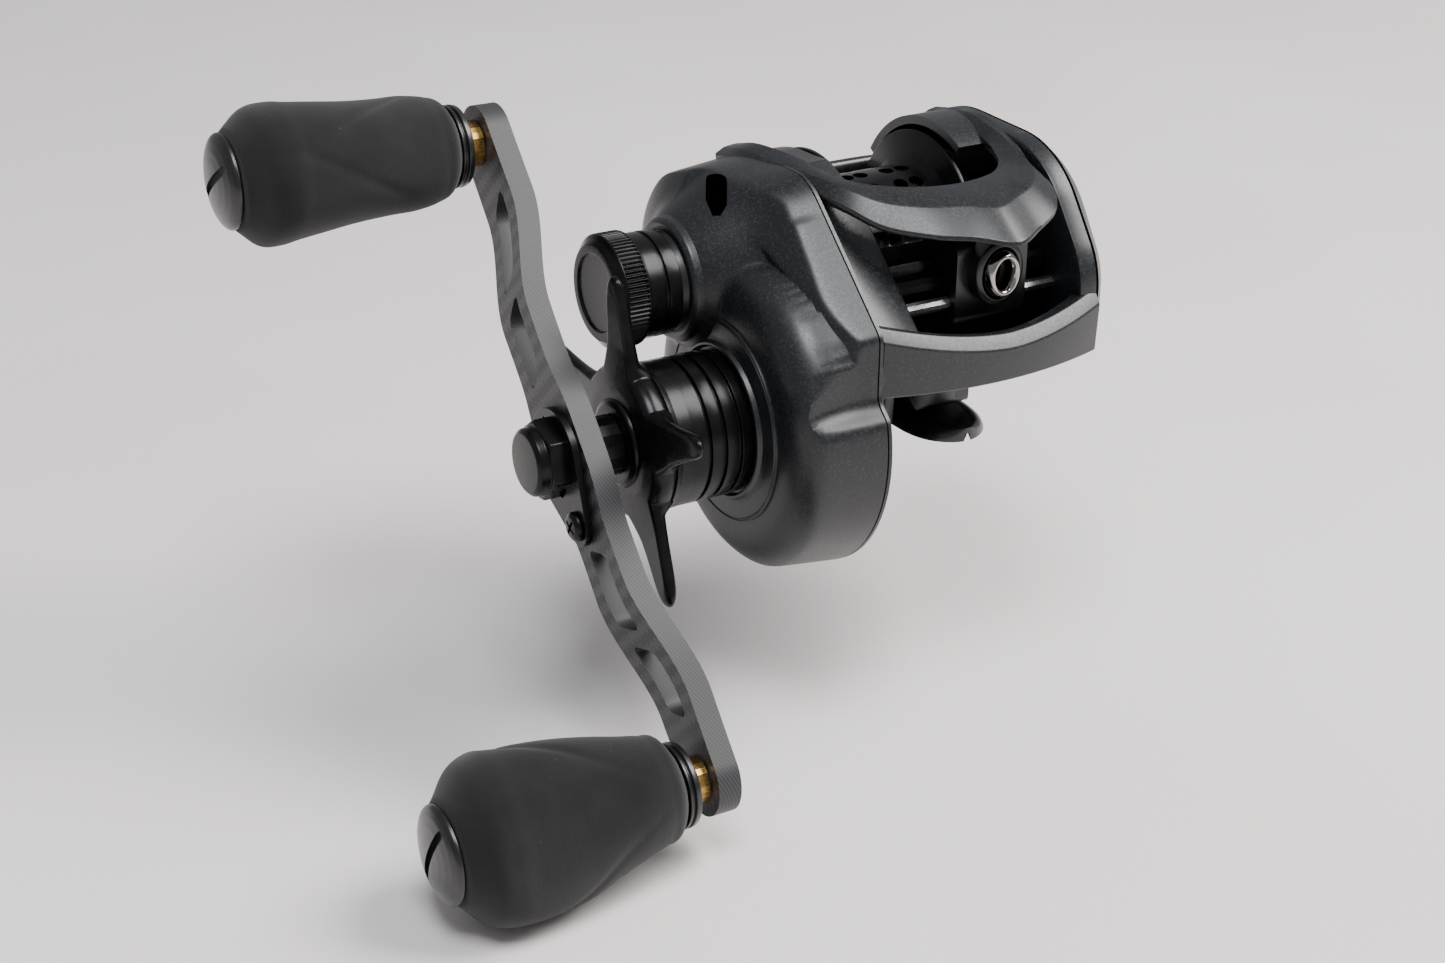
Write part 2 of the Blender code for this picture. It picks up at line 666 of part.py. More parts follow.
def spool():
    palm, end = SPOOL_PALM, SPOOL_END
    wall = 1.2
    bore_r = SPOOL_SHAFT_R + FIT
    outline = [
        (palm, FLANGE_R), (palm + 0.9, FLANGE_R), (palm + 1.7, ARBOR_R), (end - 5.3, ARBOR_R),
        (end - 4.5, FLANGE_R), (end - 3.6, FLANGE_R), (end - 3.6, FLANGE_R - 1), (end - 6.2, ARBOR_R - wall),
        (1.2, ARBOR_R - wall), (1.2, 3.4), (4, 3.2), (4, bore_r), (-4, bore_r), (-4, 3.2), (-1.2, 3.4),
        (-1.2, ARBOR_R - wall), (palm + 2.6, ARBOR_R - wall), (palm, FLANGE_R - 1),
    ]
    body = turned("spool", outline, black_anodised(), on_axis(SPOOL), steps=32)
    for x in (-4.5, 5.0):
        for i in range(PORTS_ROUND):
            angle = 2 * pi * (i + 0.5) / PORTS_ROUND
            tool = turned("tool", rod(8.2, 12.0, PORT_R), black_anodised(), (0, 0, 0), None, 8)
            tool.rotation_euler = (angle, -pi / 2, 0)
            tool.location = Vector((x, SPOOL[0], SPOOL[1])) * MM
            cut(body, tool)
    return body


def spool_group():
    spool()
    turned("spool_shaft", rod(*SPOOL_SHAFT, SPOOL_SHAFT_R), steel(), on_axis(SPOOL), steps=14)
    hub = SPOOL_SHAFT_R + FIT
    rotor = [
        (-21.8, 7.2), (-21.8, 8.0), (-16.0, 8.0), (-16.0, hub), (-19.0, hub), (-19.0, 3.2),
        (-17.2, 3.4), (-17.2, 7.2),
    ]
    turned("brake_rotor", rotor, steel(), on_axis(SPOOL), steps=18)


# Gears ---------------------------------------------------------------------------------------


def gear_sizes(first, second, first_teeth, second_teeth):
    """Pitch radii of two gears whose axes are at first and second."""
    reach = distance(first, second)
    return reach * first_teeth / (first_teeth + second_teeth), reach * second_teeth / (first_teeth + second_teeth)


def gears(handle_axis):
    main_r, pinion_r = gear_sizes(DRIVE, SPOOL, MAIN_TEETH, PINION_TEETH)
    idler_r, worm_r = gear_sizes(DRIVE, WORM, IDLER_TEETH, WORM_TEETH)
    turn = radians(HANDLE_ANGLE)
    phase = heading(DRIVE, SPOOL) - turn
    main = prism("main_gear", gear_outline(MAIN_TEETH, main_r, phase), *MAIN_X, brass(), parent=handle_axis)
    bore(main, (0, 0), 0, 30, SHAFT_R + FIT)
    phase = heading(DRIVE, WORM) - turn
    idler = prism("idler_gear", gear_outline(IDLER_TEETH, idler_r, phase), *TRAIN_X, black_plastic(), parent=handle_axis)
    bore(idler, (0, 0), 0, 30, SHAFT_R + FIT)
    phase = heading(SPOOL, DRIVE) + pi / PINION_TEETH
    teeth = gear_outline(PINION_TEETH, pinion_r, phase)
    pinion = prism("pinion_gear", teeth, *PINION_X, brass(), on_axis(SPOOL))
    tail = rod(PINION_X[1] - 0.4, PINION_TAIL_END, PINION_TAIL_R)
    join(pinion, turned("tool", tail, brass(), on_axis(SPOOL), steps=14))
    spoolward = [
        (13.0, 0), (13.0, 2.9), (14.9, 2.9), (14.9, 3.6), (15.3, 3.6), (15.3, 2.2), (17.3, 2.2),
        (17.3, 3.6), (18.0, 3.6), (18.0, 0),
    ]
    join(pinion, turned("tool", spoolward, brass(), on_axis(SPOOL), steps=14))
    bore(pinion, SPOOL, 10, 30, SPOOL_SHAFT_R + FIT, 16)
    phase = heading(WORM, DRIVE) + pi / WORM_TEETH
    worm_gear = prism("worm_gear", gear_outline(WORM_TEETH, worm_r, phase), *TRAIN_X, black_plastic(), on_axis(WORM))
    bore(worm_gear, WORM, 10, 20, WORM_JOURNAL_R + FIT, 12)


def worm_shaft():
    start, end = WORM_X
    step_in, step_out = PALM_WALL + GAP, HANDLE_WALL - 2 * GAP
    journal = WORM_JOURNAL_R
    outline = [
        (start, 0), (start, journal), (step_in, journal), (step_in, WORM_R), (step_out, WORM_R),
        (step_out, journal), (end, journal), (end, 0),
    ]
    turned("worm_shaft", outline, steel(), on_axis(WORM), steps=14)


# Drive stack on the handle's axis --------------------------------------------------------------

def drive_stack(handle_axis):
    shaft = [
        (SHAFT_START, 0), (SHAFT_START, SHAFT_JOURNAL_R), (SHAFT_STEP, SHAFT_JOURNAL_R),
        (SHAFT_STEP, SHAFT_R), (THREAD_START, SHAFT_R), (THREAD_START, THREAD_R),
        (NUT_THREAD_START, THREAD_R), (NUT_THREAD_START, NUT_THREAD_R), (SHAFT_END, NUT_THREAD_R),
        (SHAFT_END, 0),
    ]
    turned("drive_shaft", shaft, steel(), parent=handle_axis, steps=16)
    loose = SHAFT_R + FIT
    turned("drag_washer", rod(21.5, 22.2, 13.0, loose), drag_carbon(), parent=handle_axis, steps=22)
    turned("drag_key_washer", rod(22.5, 23.1, 12.4, loose), steel(), parent=handle_axis, steps=22)
    turned("drag_pressure_plate", rod(23.4, 24.3, 11.6, loose), steel(), parent=handle_axis, steps=22)
    turned("clutch_sleeve", rod(24.6, 33.0, SLEEVE_R, loose), steel(), parent=handle_axis, steps=18)
    turned("star_spring_washer", rod(STAR_BARREL_X, STAR_BARREL_X + 0.7, 5.4, THREAD_R + FIT), steel(), parent=handle_axis, steps=16)
    turned("handle_spacer", rod(*SPACER, 4.3, THREAD_R + FIT), black_anodised(), parent=handle_axis, steps=16)


def handle_half_width(y):
    """Hub, waist, broad middle and round end of an arm, by distance from the hub."""
    reach = abs(y)
    if reach > CRANK_R:
        return sqrt(max(ARM_HALF**2 - (reach - CRANK_R) ** 2, 0.04))
    return ARM_HALF + (HUB_R - ARM_HALF) * max(0.0, 1 - (reach / 12.0) ** 2)


def handle_drop(y):
    """How far the arm is set back towards the body: an eased step between 20 and 38 mm out."""
    share = min(max((abs(y) - 20.0) / 18.0, 0.0), 1.0)
    return CRANK_DROP * share * share * (3 - 2 * share)


def handle_plate(handle_axis):
    ends = [CRANK_R + ARM_HALF * sin(radians(a)) for a in (0, 25, 45, 62, 78, 88)]
    reaches = sorted([-y for y in ends] + ends + [i * 4.0 for i in range(-11, 12)])
    rings = []
    for y in reaches:
        half = handle_half_width(y)
        low = HANDLE_FACE - handle_drop(y)
        rings.append([(low, y, -half), (low + PLATE_T, y, -half), (low + PLATE_T, y, half), (low, y, half)])
    look = carbon()
    plate = lofted("handle_plate", rings, look, parent=handle_axis)
    for start, end in ARM_SLOTS:
        cut(plate, prism("tool", slot_outline(start, end, ARM_SLOT_HALF), 40, 70, look, parent=handle_axis))
    bore(plate, (0, 0), 40, 70, THREAD_R + FIT)
    for y in (-CRANK_R, CRANK_R):
        bore(plate, (y, 0), 40, 70, SPINDLE_R + FIT, 20)
    bore(plate, (RETAINER_REACH, 0), HANDLE_FACE + 0.8, 70, SCREW_R + FIT, 12)


def nut_and_retainer(handle_axis):
    look = black_anodised()
    corner = NUT_FLAT / cos(pi / 6)
    hexagon = arc((0, 0), corner, 0, 300, 5)
    nut = prism("handle_nut", hexagon, NUT_BACK, NUT_SHOULDER, look, parent=handle_axis)
    inside = NUT_SHOULDER - 0.6
    crown = [
        (inside, 0), (inside, NUT_CROWN_R), (NUT_FRONT - 0.5, NUT_CROWN_R), (NUT_FRONT, NUT_CROWN_R - 0.5), (NUT_FRONT, 0)
    ]
    join(nut, turned("tool", crown, look, parent=handle_axis, steps=22))
    cut(nut, turned("tool", rod(50, SHAFT_END + 0.4, NUT_THREAD_R + FIT), look, parent=handle_axis, steps=14))
    outline = arc((0, 0), 7.0, 60, 300, 14) + arc((RETAINER_REACH, 0), 2.8, -80, 80, 8)
    retainer = prism("nut_retainer", outline, *RETAINER, look, parent=handle_axis)
    hole = arc((0, 0), corner + 0.35, 0, 300, 5)
    cut(retainer, prism("tool", hole, 50, 70, look, parent=handle_axis))
    bore(retainer, (RETAINER_REACH, 0), 50, 70, SCREW_R + FIT, 12)
    top = RETAINER[1] + 0.15
    start = HANDLE_FACE + 1.0
    screw = [
        (start, 0), (start, SCREW_R), (top, SCREW_R), (top, 2.1), (top + 0.7, 2.1), (top + 1.0, 1.5), (top + 1.0, 0)
    ]
    turned("retainer_screw", screw, steel(), (0, RETAINER_REACH, 0), handle_axis, 16)


# Star drag -----------------------------------------------------------------------------------

def star_outline():
    """Five tapering arms with round webs between them."""
    outline = []
    step = 360 / STAR_ARMS
    for i in range(STAR_ARMS):
        middle = STAR_TURN + i * step
        for turn, radius in ((-36, 11.4), (-18, 12.2), (-8.5, 16.0), (-4.2, 22.0), (-1.6, STAR_TIP_R)):
            outline.append((radians(middle + turn), radius))
        for turn, radius in ((1.6, STAR_TIP_R), (4.2, 22.0), (8.5, 16.0), (18, 12.2)):
            outline.append((radians(middle + turn), radius))
    return [(radius * cos(a), radius * sin(a)) for a, radius in outline]


def star_drag(handle_axis):
    look = black_anodised()
    flat = star_outline()
    back = []
    front = []
    for y, z in flat:
        share = max(0.0, (hypot(y, z) - 12.0) / (STAR_TIP_R - 12.0))
        clear = 0.0 if share > 0 else 1.4
        back.append((STAR_BACK - clear + 1.0 * share, y, z))
        front.append((STAR_BACK + 2.8 + 0.2 * share, y, z))
    mesh = bmesh.new()
    low = [mesh.verts.new(Vector(point) * MM) for point in back]
    high = [mesh.verts.new(Vector(point) * MM) for point in front]
    hubs = [mesh.verts.new(Vector((x, 0, 0)) * MM) for x in (STAR_BACK - 1.4, STAR_BACK + 2.8)]
    for i in range(len(low)):
        j = (i + 1) % len(low)
        mesh.faces.new((low[i], low[j], high[j], high[i]))
        mesh.faces.new((low[j], low[i], hubs[0]))
        mesh.faces.new((high[i], high[j], hubs[1]))
    star = finish("star_drag", mesh, look, parent=handle_axis, turn=-HANDLE_ANGLE)
    barrel = [(STAR_BARREL_X, 0), (STAR_BARREL_X, STAR_R)]
    low = STAR_R - STAR_GROOVE
    for x in STAR_GROOVES:
        barrel += [(x, STAR_R), (x, low), (x + STAR_GROOVE, low), (x + STAR_GROOVE, STAR_R)]
    barrel += [(43.6, STAR_R), (46.0, 9.8), (46.0, 0)]
    join(star, turned("tool", barrel, look, parent=handle_axis, steps=26))
    collar = [(47.0, 0), (47.0, 6.4), (49.6, 6.2), (50.0, 5.8), (50.0, 0)]
    join(star, turned("tool", collar, look, parent=handle_axis, steps=18))
    pocket = [(32, 0), (32, 5.8), (34.4, 5.8), (34.4, THREAD_R + FIT), (52, THREAD_R + FIT), (52, 0)]
    cut(star, turned("tool", pocket, look, parent=handle_axis, steps=18))


# Knobs ---------------------------------------------------------------------------------------

def grip_rings():
    """Oval sections by distance in from the cap's rim, each with its thin and its wide half width."""
    rings = []
    for inward, thin, wide in GRIP_STATIONS:
        x = KNOB_OUT - 0.2 - inward
        rings.append([(x, wide * cos(2 * pi * i / 18), thin * sin(2 * pi * i / 18)) for i in range(18)])
    return rings[::-1]


def knob(side, y, wide, handle_axis):
    """One foam grip on its plastic core, which spins on the spindle fixed in the handle."""
    turn = wide - HANDLE_ANGLE
    axis = empty("knob_axis_" + side, (0, y, 0), turn, handle_axis)
    plastic = black_plastic()
    grip = lofted("knob_grip_" + side, grip_rings(), foam(), parent=axis)
    bore(grip, (0, 0), 50, 95, CORE_R + FIT, 18)
    outer = KNOB_OUT - 0.5
    seat = KNOB_OUT - 9.0
    core = [
        (KNOB_IN, SPINDLE_R + FIT), (KNOB_IN, 5.4), (KNOB_IN + 0.5, 5.95), (KNOB_IN + 2.0, 5.95),
        (KNOB_IN + 2.0, CORE_R), (outer, CORE_R), (outer, 3.45), (seat, 3.45), (seat, SPINDLE_R + FIT),
    ]
    turned("knob_core_" + side, core, plastic, parent=axis, steps=18)
    bearing = rod(seat + 0.15, seat + 2.6, 3.3, SPINDLE_R + FIT)
    turned("knob_bearing_" + side, bearing, steel(), parent=axis, steps=14)
    rim = KNOB_OUT + 0.1
    dome = [(rim, 0), (rim, CAP_R)]
    dome += [(rim + 0.6 + 1.9 * sin(radians(a)), CAP_R * cos(radians(a))) for a in (0, 25, 50, 70)]
    dome += [(rim + 2.5, 0)]
    cap = turned("knob_cap_" + side, dome, plastic, parent=axis, steps=22)
    slot = box("tool", (rim + 1.3, -CAP_R, -0.6), (rim + 4, CAP_R, 0.6), plastic, parent=axis)
    cut(cap, slot)
    start = HANDLE_FACE - CRANK_DROP
    spindle = rod(start + 0.1, seat + 4.0, SPINDLE_R)
    turned("knob_spindle_" + side, spindle, steel(), (0, y, 0), handle_axis, 20)
    screw = rod(seat + 4.3, seat + 5.6, 2.9)
    turned("knob_screw_" + side, screw, steel(), (0, y, 0), handle_axis, 16)
    bush = rod(start + PLATE_T + 0.2, KNOB_IN - 0.2, 3.3, SPINDLE_R + FIT)
    turned("knob_bush_" + side, bush, brass(), (0, y, 0), handle_axis, 24)


# Controls ------------------------------------------------------------------------------------


def tension_cap():
    look = black_anodised()
    inner = SPOOL_BEARING_R + 1.0 + 2 * FIT
    front = CAP_FACE
    outline = [
        (36.2, inner), (36.2, TENSION_R), (38.4, TENSION_R), (38.4, TENSION_R - 0.4), (38.9, TENSION_R - 0.4),
        (38.9, TENSION_R), (41.5, TENSION_R), (41.5, KNURL_R), (front - 1.2, KNURL_R), (front, KNURL_R - 1.2),
        (front, 5.5), (front - 0.4, 5.5), (front - 0.4, 0), (43.5, 0), (43.5, inner),
    ]
    turned("tension_cap", outline, look, on_axis(SPOOL), steps=32)


def thumb_bar():
    """The bar behind the spool: a flat face to the spool and a rounded back for the thumb."""
    back = SPOOL[0] - CRADLE_R - 0.3
    outline = [
        (back, 15.6), (back, 26.0), (back - 0.8, 27.6), (back - 2.6, 27.4), (back - 3.9, 25.0),
        (back - 4.2, 20.5), (back - 3.2, 15.6),
    ]
    prism("thumb_bar", outline, PALM_WALL + 0.4, HANDLE_WALL - 0.5, black_plastic())


def clutch_yoke():
    """A forked plate in the pinion's groove, which lifts the pinion off the spool shaft."""
    half = 3.0
    reach = SPOOL_CASE_R - WALL - 2.4
    outline = [
        (SPOOL[0] - reach, SPOOL[1] - half), (SPOOL[0] + 3.4, SPOOL[1] - half), (SPOOL[0] + 3.4, SPOOL[1] - 2.5),
        (SPOOL[0], SPOOL[1] - 2.5), *arc(SPOOL, 2.5, 250, 110, 6), (SPOOL[0], SPOOL[1] + 2.5),
        (SPOOL[0] + 3.4, SPOOL[1] + 2.5), (SPOOL[0] + 3.4, SPOOL[1] + half + 1), (SPOOL[0] - reach, SPOOL[1] + half + 1),
    ]
    prism("clutch_yoke", outline, 15.7, 16.9, black_plastic())


# Line guide ----------------------------------------------------------------------------------

def line_guide():
    look = black_plastic()
    x, y, z = LINE_RING
    back = CARRIAGE_BACK
    block = [(back, 18.6), (21.0, 15.6), (29.6, 15.6), (29.6, 29.0), (26.4, 29.6), (back, 26.1)]
    body = prism("line_guide_carriage", block, *CARRIAGE, look)
    bore(body, WORM, -20, 20, GUARD_R + FIT, 18)
    bore(body, GUIDE_ROD, -20, 20, ROD_R + FIT, 16)
    cut(body, box("tool", (x - 2.3, 17, 25.9), (x + 2.3, 29.0, 32), look))
    hole = lofted("tool", oval_rings(26.8, 35, 3.0 + FIT, 3.4 + FIT), look)
    cut(body, hole)
    cut(body, box("tool", (CARRIAGE[0] - 1, 27.6, 14), (x - 4.4, 35, 35), look))
    cut(body, box("tool", (x + 4.4, 27.6, 14), (CARRIAGE[1] + 1, 35, 35), look))
    pawl_r = PAWL_R + FIT + 0.1
    cut(body, upright("tool", [(10, 0), (10, pawl_r), (21, pawl_r), (21, 0)], look, x, WORM[0], 16))
    eye = lofted("line_guide_ring", oval_rings(27.2, 31.6, 3.0, 3.4), dark_chrome())
    cut(eye, lofted("tool", oval_rings(24, 36, 1.25, 2.0), dark_chrome()))
    upright("pawl", [(16.4, 0), (16.4, PAWL_R), (19.2, PAWL_R), (19.2, 0)], steel(), x, WORM[0], 14)


def oval_rings(y0, y1, half_x, half_z):
    """An oval along Y through the middle of the line's path."""
    x, _, z = LINE_RING
    count = 24
    angles = [2 * pi * i / count for i in range(count)]
    return [[(x + half_x * cos(a), y, z + half_z * sin(a)) for a in angles] for y in (y0, y1)]


def brake_dial():
    outline = [(DIAL[0], 0), (DIAL[0], DIAL_R - 0.6), (DIAL[0] + 0.5, DIAL_R), (DIAL[1], DIAL_R), (DIAL[1], 0)]
    y, middle = DIAL_AXIS
    dial = turned("brake_dial", outline, black_plastic(), on_axis(DIAL_AXIS), steps=24)
    for z in (middle + 1.2, middle - 3.4):
        grip = (DIAL[0] - 1, y - 3.5, z), (DIAL[0] + 0.7, y + 3.5, z + 2.2)
        cut(dial, box("tool", *grip, black_plastic()))


def main():
    clear_scene()
    body = frame()
    foot(body)
    hood()
    handle_cover()
    palm_plate()
    small_fixed_pieces()
    worm_guard()
    spool_group()
    handle_axis = empty("handle_axis", on_axis(DRIVE), HANDLE_ANGLE)
    bpy.context.view_layer.update()
    gears(handle_axis)
    worm_shaft()
    drive_stack(handle_axis)
    handle_plate(handle_axis)
    nut_and_retainer(handle_axis)
    star_drag(handle_axis)
    knob("upper", -CRANK_R, WIDE_UPPER, handle_axis)
    knob("lower", CRANK_R, WIDE_LOWER, handle_axis)
    tension_cap()
    thumb_bar()
    clutch_yoke()
    line_guide()
    brake_dial()


main()
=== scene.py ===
"""Low-profile baitcasting reel with a carbon handle and foam knobs, dressed over its CAD frame."""

import json
from math import radians

import bmesh
import bpy
import numpy as np
from mathutils import Matrix, Vector


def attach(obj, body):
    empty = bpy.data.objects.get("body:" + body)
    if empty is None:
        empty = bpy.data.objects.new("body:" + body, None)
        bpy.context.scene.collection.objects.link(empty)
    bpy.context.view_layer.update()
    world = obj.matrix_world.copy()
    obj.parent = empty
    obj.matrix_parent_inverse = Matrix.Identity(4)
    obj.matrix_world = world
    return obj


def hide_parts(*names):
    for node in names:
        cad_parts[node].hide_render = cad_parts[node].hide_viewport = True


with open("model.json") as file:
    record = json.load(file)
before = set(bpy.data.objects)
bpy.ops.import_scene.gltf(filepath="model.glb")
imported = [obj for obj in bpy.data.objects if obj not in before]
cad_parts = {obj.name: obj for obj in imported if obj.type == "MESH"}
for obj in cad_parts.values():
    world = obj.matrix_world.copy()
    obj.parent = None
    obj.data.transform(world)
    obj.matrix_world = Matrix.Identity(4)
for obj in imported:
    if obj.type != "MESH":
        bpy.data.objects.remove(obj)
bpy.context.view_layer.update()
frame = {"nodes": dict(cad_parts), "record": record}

# ---- Foam knob grips ---------------------------------------------------------------------------
# Two paddles of closed-cell foam, ground to shape and pushed over plastic cores. Each is widest near
# its outer end, with one flatter side, a hollowed side and soft facets; both spin freely.

MM = 0.001
DRIVE = np.array([14.5, 3.3])
SPOOL = np.array([2.3, 20.8])
HANDLE_TURN = radians(-46.4)
CRANK = 48.0
ARM_WAY = np.array([np.cos(HANDLE_TURN), np.sin(HANDLE_TURN)])
KNOBS = {
    "upper": (DRIVE - CRANK * ARM_WAY, radians(29.0)), "lower": (DRIVE + CRANK * ARM_WAY, radians(119.0))
}


def full_turn(count):
    """Angles spaced evenly round a circle, the last one short of the first."""
    return np.linspace(0, 2 * np.pi, count, endpoint=False)


def way_at(angle):
    """The unit direction (y, z) at each angle from Y."""
    return np.stack([np.cos(angle), np.sin(angle)], -1)


def linear(hex_colour):
    """sRGB hex to linear red, green, blue, alpha."""
    parts = np.array([int(hex_colour[i:i + 2], 16) / 255 for i in (1, 3, 5)])
    low = parts / 12.92
    high = ((parts + 0.055) / 1.055) ** 2.4
    return (*np.where(parts <= 0.04045, low, high).tolist(), 1.0)


def node(tree, kind, links=None, **settings):
    """Adds a node; settings are its properties, links its inputs by name or number."""
    made = tree.nodes.new(kind)
    for key, value in settings.items():
        setattr(made, key, value)
    for key, value in (links or {}).items():
        if isinstance(value, bpy.types.NodeSocket):
            tree.links.new(value, made.inputs[key])
        else:
            made.inputs[key].default_value = value
    return made


def new_material(name, **sockets):
    """A named material; sockets are the shader's own constant inputs, spaces written as underscores."""
    made = bpy.data.materials.new(name)
    made.use_nodes = True
    shader = made.node_tree.nodes["Principled BSDF"]
    for key, value in sockets.items():
        shader.inputs[key.replace("_", " ")].default_value = value
    return made, made.node_tree, shader


def ramp(tree, factor, low, high, first, second):
    """A two-stop colour ramp over the given span."""
    made = node(tree, "ShaderNodeValToRGB", {"Fac": factor})
    made.color_ramp.elements[0].position = low
    made.color_ramp.elements[1].position = high
    made.color_ramp.elements[0].color = first
    made.color_ramp.elements[1].color = second
    return made.outputs["Color"]


def own_place(tree):
    """Each point's place in the piece's own frame, in metres."""
    return node(tree, "ShaderNodeTexCoord").outputs["Object"]


def cloudy(tree, place, size, detail):
    """Soft noise from 0 to 1 with lumps about size mm across."""
    links = {"Vector": place, "Scale": 1 / (size * MM), "Detail": detail}
    return node(tree, "ShaderNodeTexNoise", links).outputs["Fac"]


def calc(tree, operation, *values):
    """One step of arithmetic on one or two values."""
    return node(tree, "ShaderNodeMath", dict(enumerate(values)), operation=operation).outputs[0]


def between(tree, value, low, high):
    """A value from 0 to 1 spread from low to high."""
    return node(tree, "ShaderNodeMapRange", {"Value": value, "To Min": low, "To Max": high}).outputs[0]


def blend(tree, share, first, second):
    """The first colour where share is 0, the second where it is 1."""
    return node(tree, "ShaderNodeMix", {"Factor": share, 6: first, 7: second}, data_type="RGBA").outputs[2]


def wire(tree, shader, colour, rough=None, relief=None):
    """Joins colour, roughness and relief to the shader; relief is (height, strength, depth in mm)."""
    tree.links.new(colour, shader.inputs["Base Color"])
    if rough is not None:
        tree.links.new(rough, shader.inputs["Roughness"])
    if relief is not None:
        height, strength, depth = relief
        bump = node(tree, "ShaderNodeBump", {"Height": height, "Strength": strength, "Distance": depth * MM})
        tree.links.new(bump.outputs["Normal"], shader.inputs["Normal"])


def skin(name, points, wrap=(False, True), sharp=None):
    """A grid of points in mm, rows by columns, as one smooth mesh; wrap closes rows and columns."""
    rows, cols = points.shape[:2]
    r = np.arange(rows if wrap[0] else rows - 1)[:, None]
    c = np.arange(cols if wrap[1] else cols - 1)[None, :]
    r2, c2 = (r + 1) % rows, (c + 1) % cols
    quads = np.stack([r * cols + c, r * cols + c2, r2 * cols + c2, r2 * cols + c], -1).reshape(-1, 4)
    mesh = bpy.data.meshes.new(name)
    mesh.from_pydata((points.reshape(-1, 3) * MM).tolist(), [], quads.tolist())
    work = bmesh.new()
    work.from_mesh(mesh)
    bmesh.ops.remove_doubles(work, verts=work.verts, dist=2e-6)
    bmesh.ops.recalc_face_normals(work, faces=work.faces)
    work.to_mesh(mesh)
    work.free()
    mesh.shade_smooth()
    if sharp:
        mesh.set_sharp_from_angle(angle=radians(sharp))
    made = bpy.data.objects.new(name, mesh)
    bpy.context.scene.collection.objects.link(made)
    return made


def capped(name, grid, sharp):
    """A tube of rings with each of its two ends closed on the middle of its last ring."""
    ends = grid[[0, -1]].mean(1, keepdims=True).repeat(grid.shape[1], 1)
    return skin(name, np.concatenate([ends[:1], grid, ends[1:]]), (False, True), sharp)


def put(piece, material, body, slot, *nodes):
    """Gives a piece its material, the body it moves with and the CAD nodes it stands for."""
    piece.data.materials.clear()
    piece.data.materials.append(material)
    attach(piece, body)
    if nodes:
        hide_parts(*nodes)
    return piece


def foam_material():
    """EVA foam, ground smooth: near-black, dead matt, fine open pores, faint dust in patches."""
    made, tree, shader = new_material("eva_foam_ground", Metallic=0.0, Sheen_Weight=0.12, Sheen_Roughness=0.6)
    shader.inputs["Specular IOR Level"].default_value = 0.18
    place = own_place(tree)
    pores = node(tree, "ShaderNodeTexVoronoi", {"Vector": place, "Scale": 1 / (0.32 * MM)})
    cloud = cloudy(tree, place, 5, 5.0)
    base = ramp(tree, cloud, 0.35, 0.7, linear("#0d0d0d"), linear("#141414"))
    dust = node(tree, "ShaderNodeTexVoronoi", {"Vector": place, "Scale": 1 / (1.5 * MM), "Randomness": 1.0})
    speck = ramp(tree, dust.outputs["Distance"], 0.035, 0.06, (1, 1, 1, 1), (0, 0, 0, 1))
    patch = ramp(tree, cloud, 0.52, 0.62, (0, 0, 0, 1), (0.55, 0.55, 0.55, 1))
    amount = calc(tree, "MULTIPLY", speck, patch)
    colour = blend(tree, amount, base, linear("#6b675f"))
    wire(tree, shader, colour, None, (pores.outputs["Distance"], 0.5, 0.05))
    shader.inputs["Roughness"].default_value = 0.93
    return made


FOAM = foam_material()
GRIP_OUT = 90.9
GRIP_STATIONS = np.array([
    # inward from the rim, thin half, wide half on the plain side, wide half on the hollowed side
    (0.0, 6.85, 6.9, 6.9), (1.2, 7.9, 8.2, 8.2), (3.0, 9.3, 10.3, 10.2), (5.7, 9.6, 11.6, 11.3),
    (8.5, 9.2, 11.4, 11.6),
    (12.0, 8.8, 11.1, 11.6), (17.0, 8.3, 10.5, 10.9), (22.0, 8.1, 9.5, 9.3), (26.0, 8.05, 8.5, 8.1),
    (29.0, 7.5, 7.8, 7.3), (31.0, 6.6, 7.1, 6.7), (31.9, 5.4, 5.6, 5.5),
])


def smooth_between(x, xs, ys):
    """Monotone cubic through the stations: eased by each station's mean slope."""
    slope = np.gradient(ys, xs)
    i = np.clip(np.searchsorted(xs, x) - 1, 0, len(xs) - 2)
    h = xs[i + 1] - xs[i]
    t = (x - xs[i]) / h
    a = (1 + 2 * t) * (1 - t) ** 2 * ys[i] + t * (1 - t) ** 2 * h * slope[i]
    return a + t * t * (3 - 2 * t) * ys[i + 1] + t * t * (t - 1) * h * slope[i + 1]


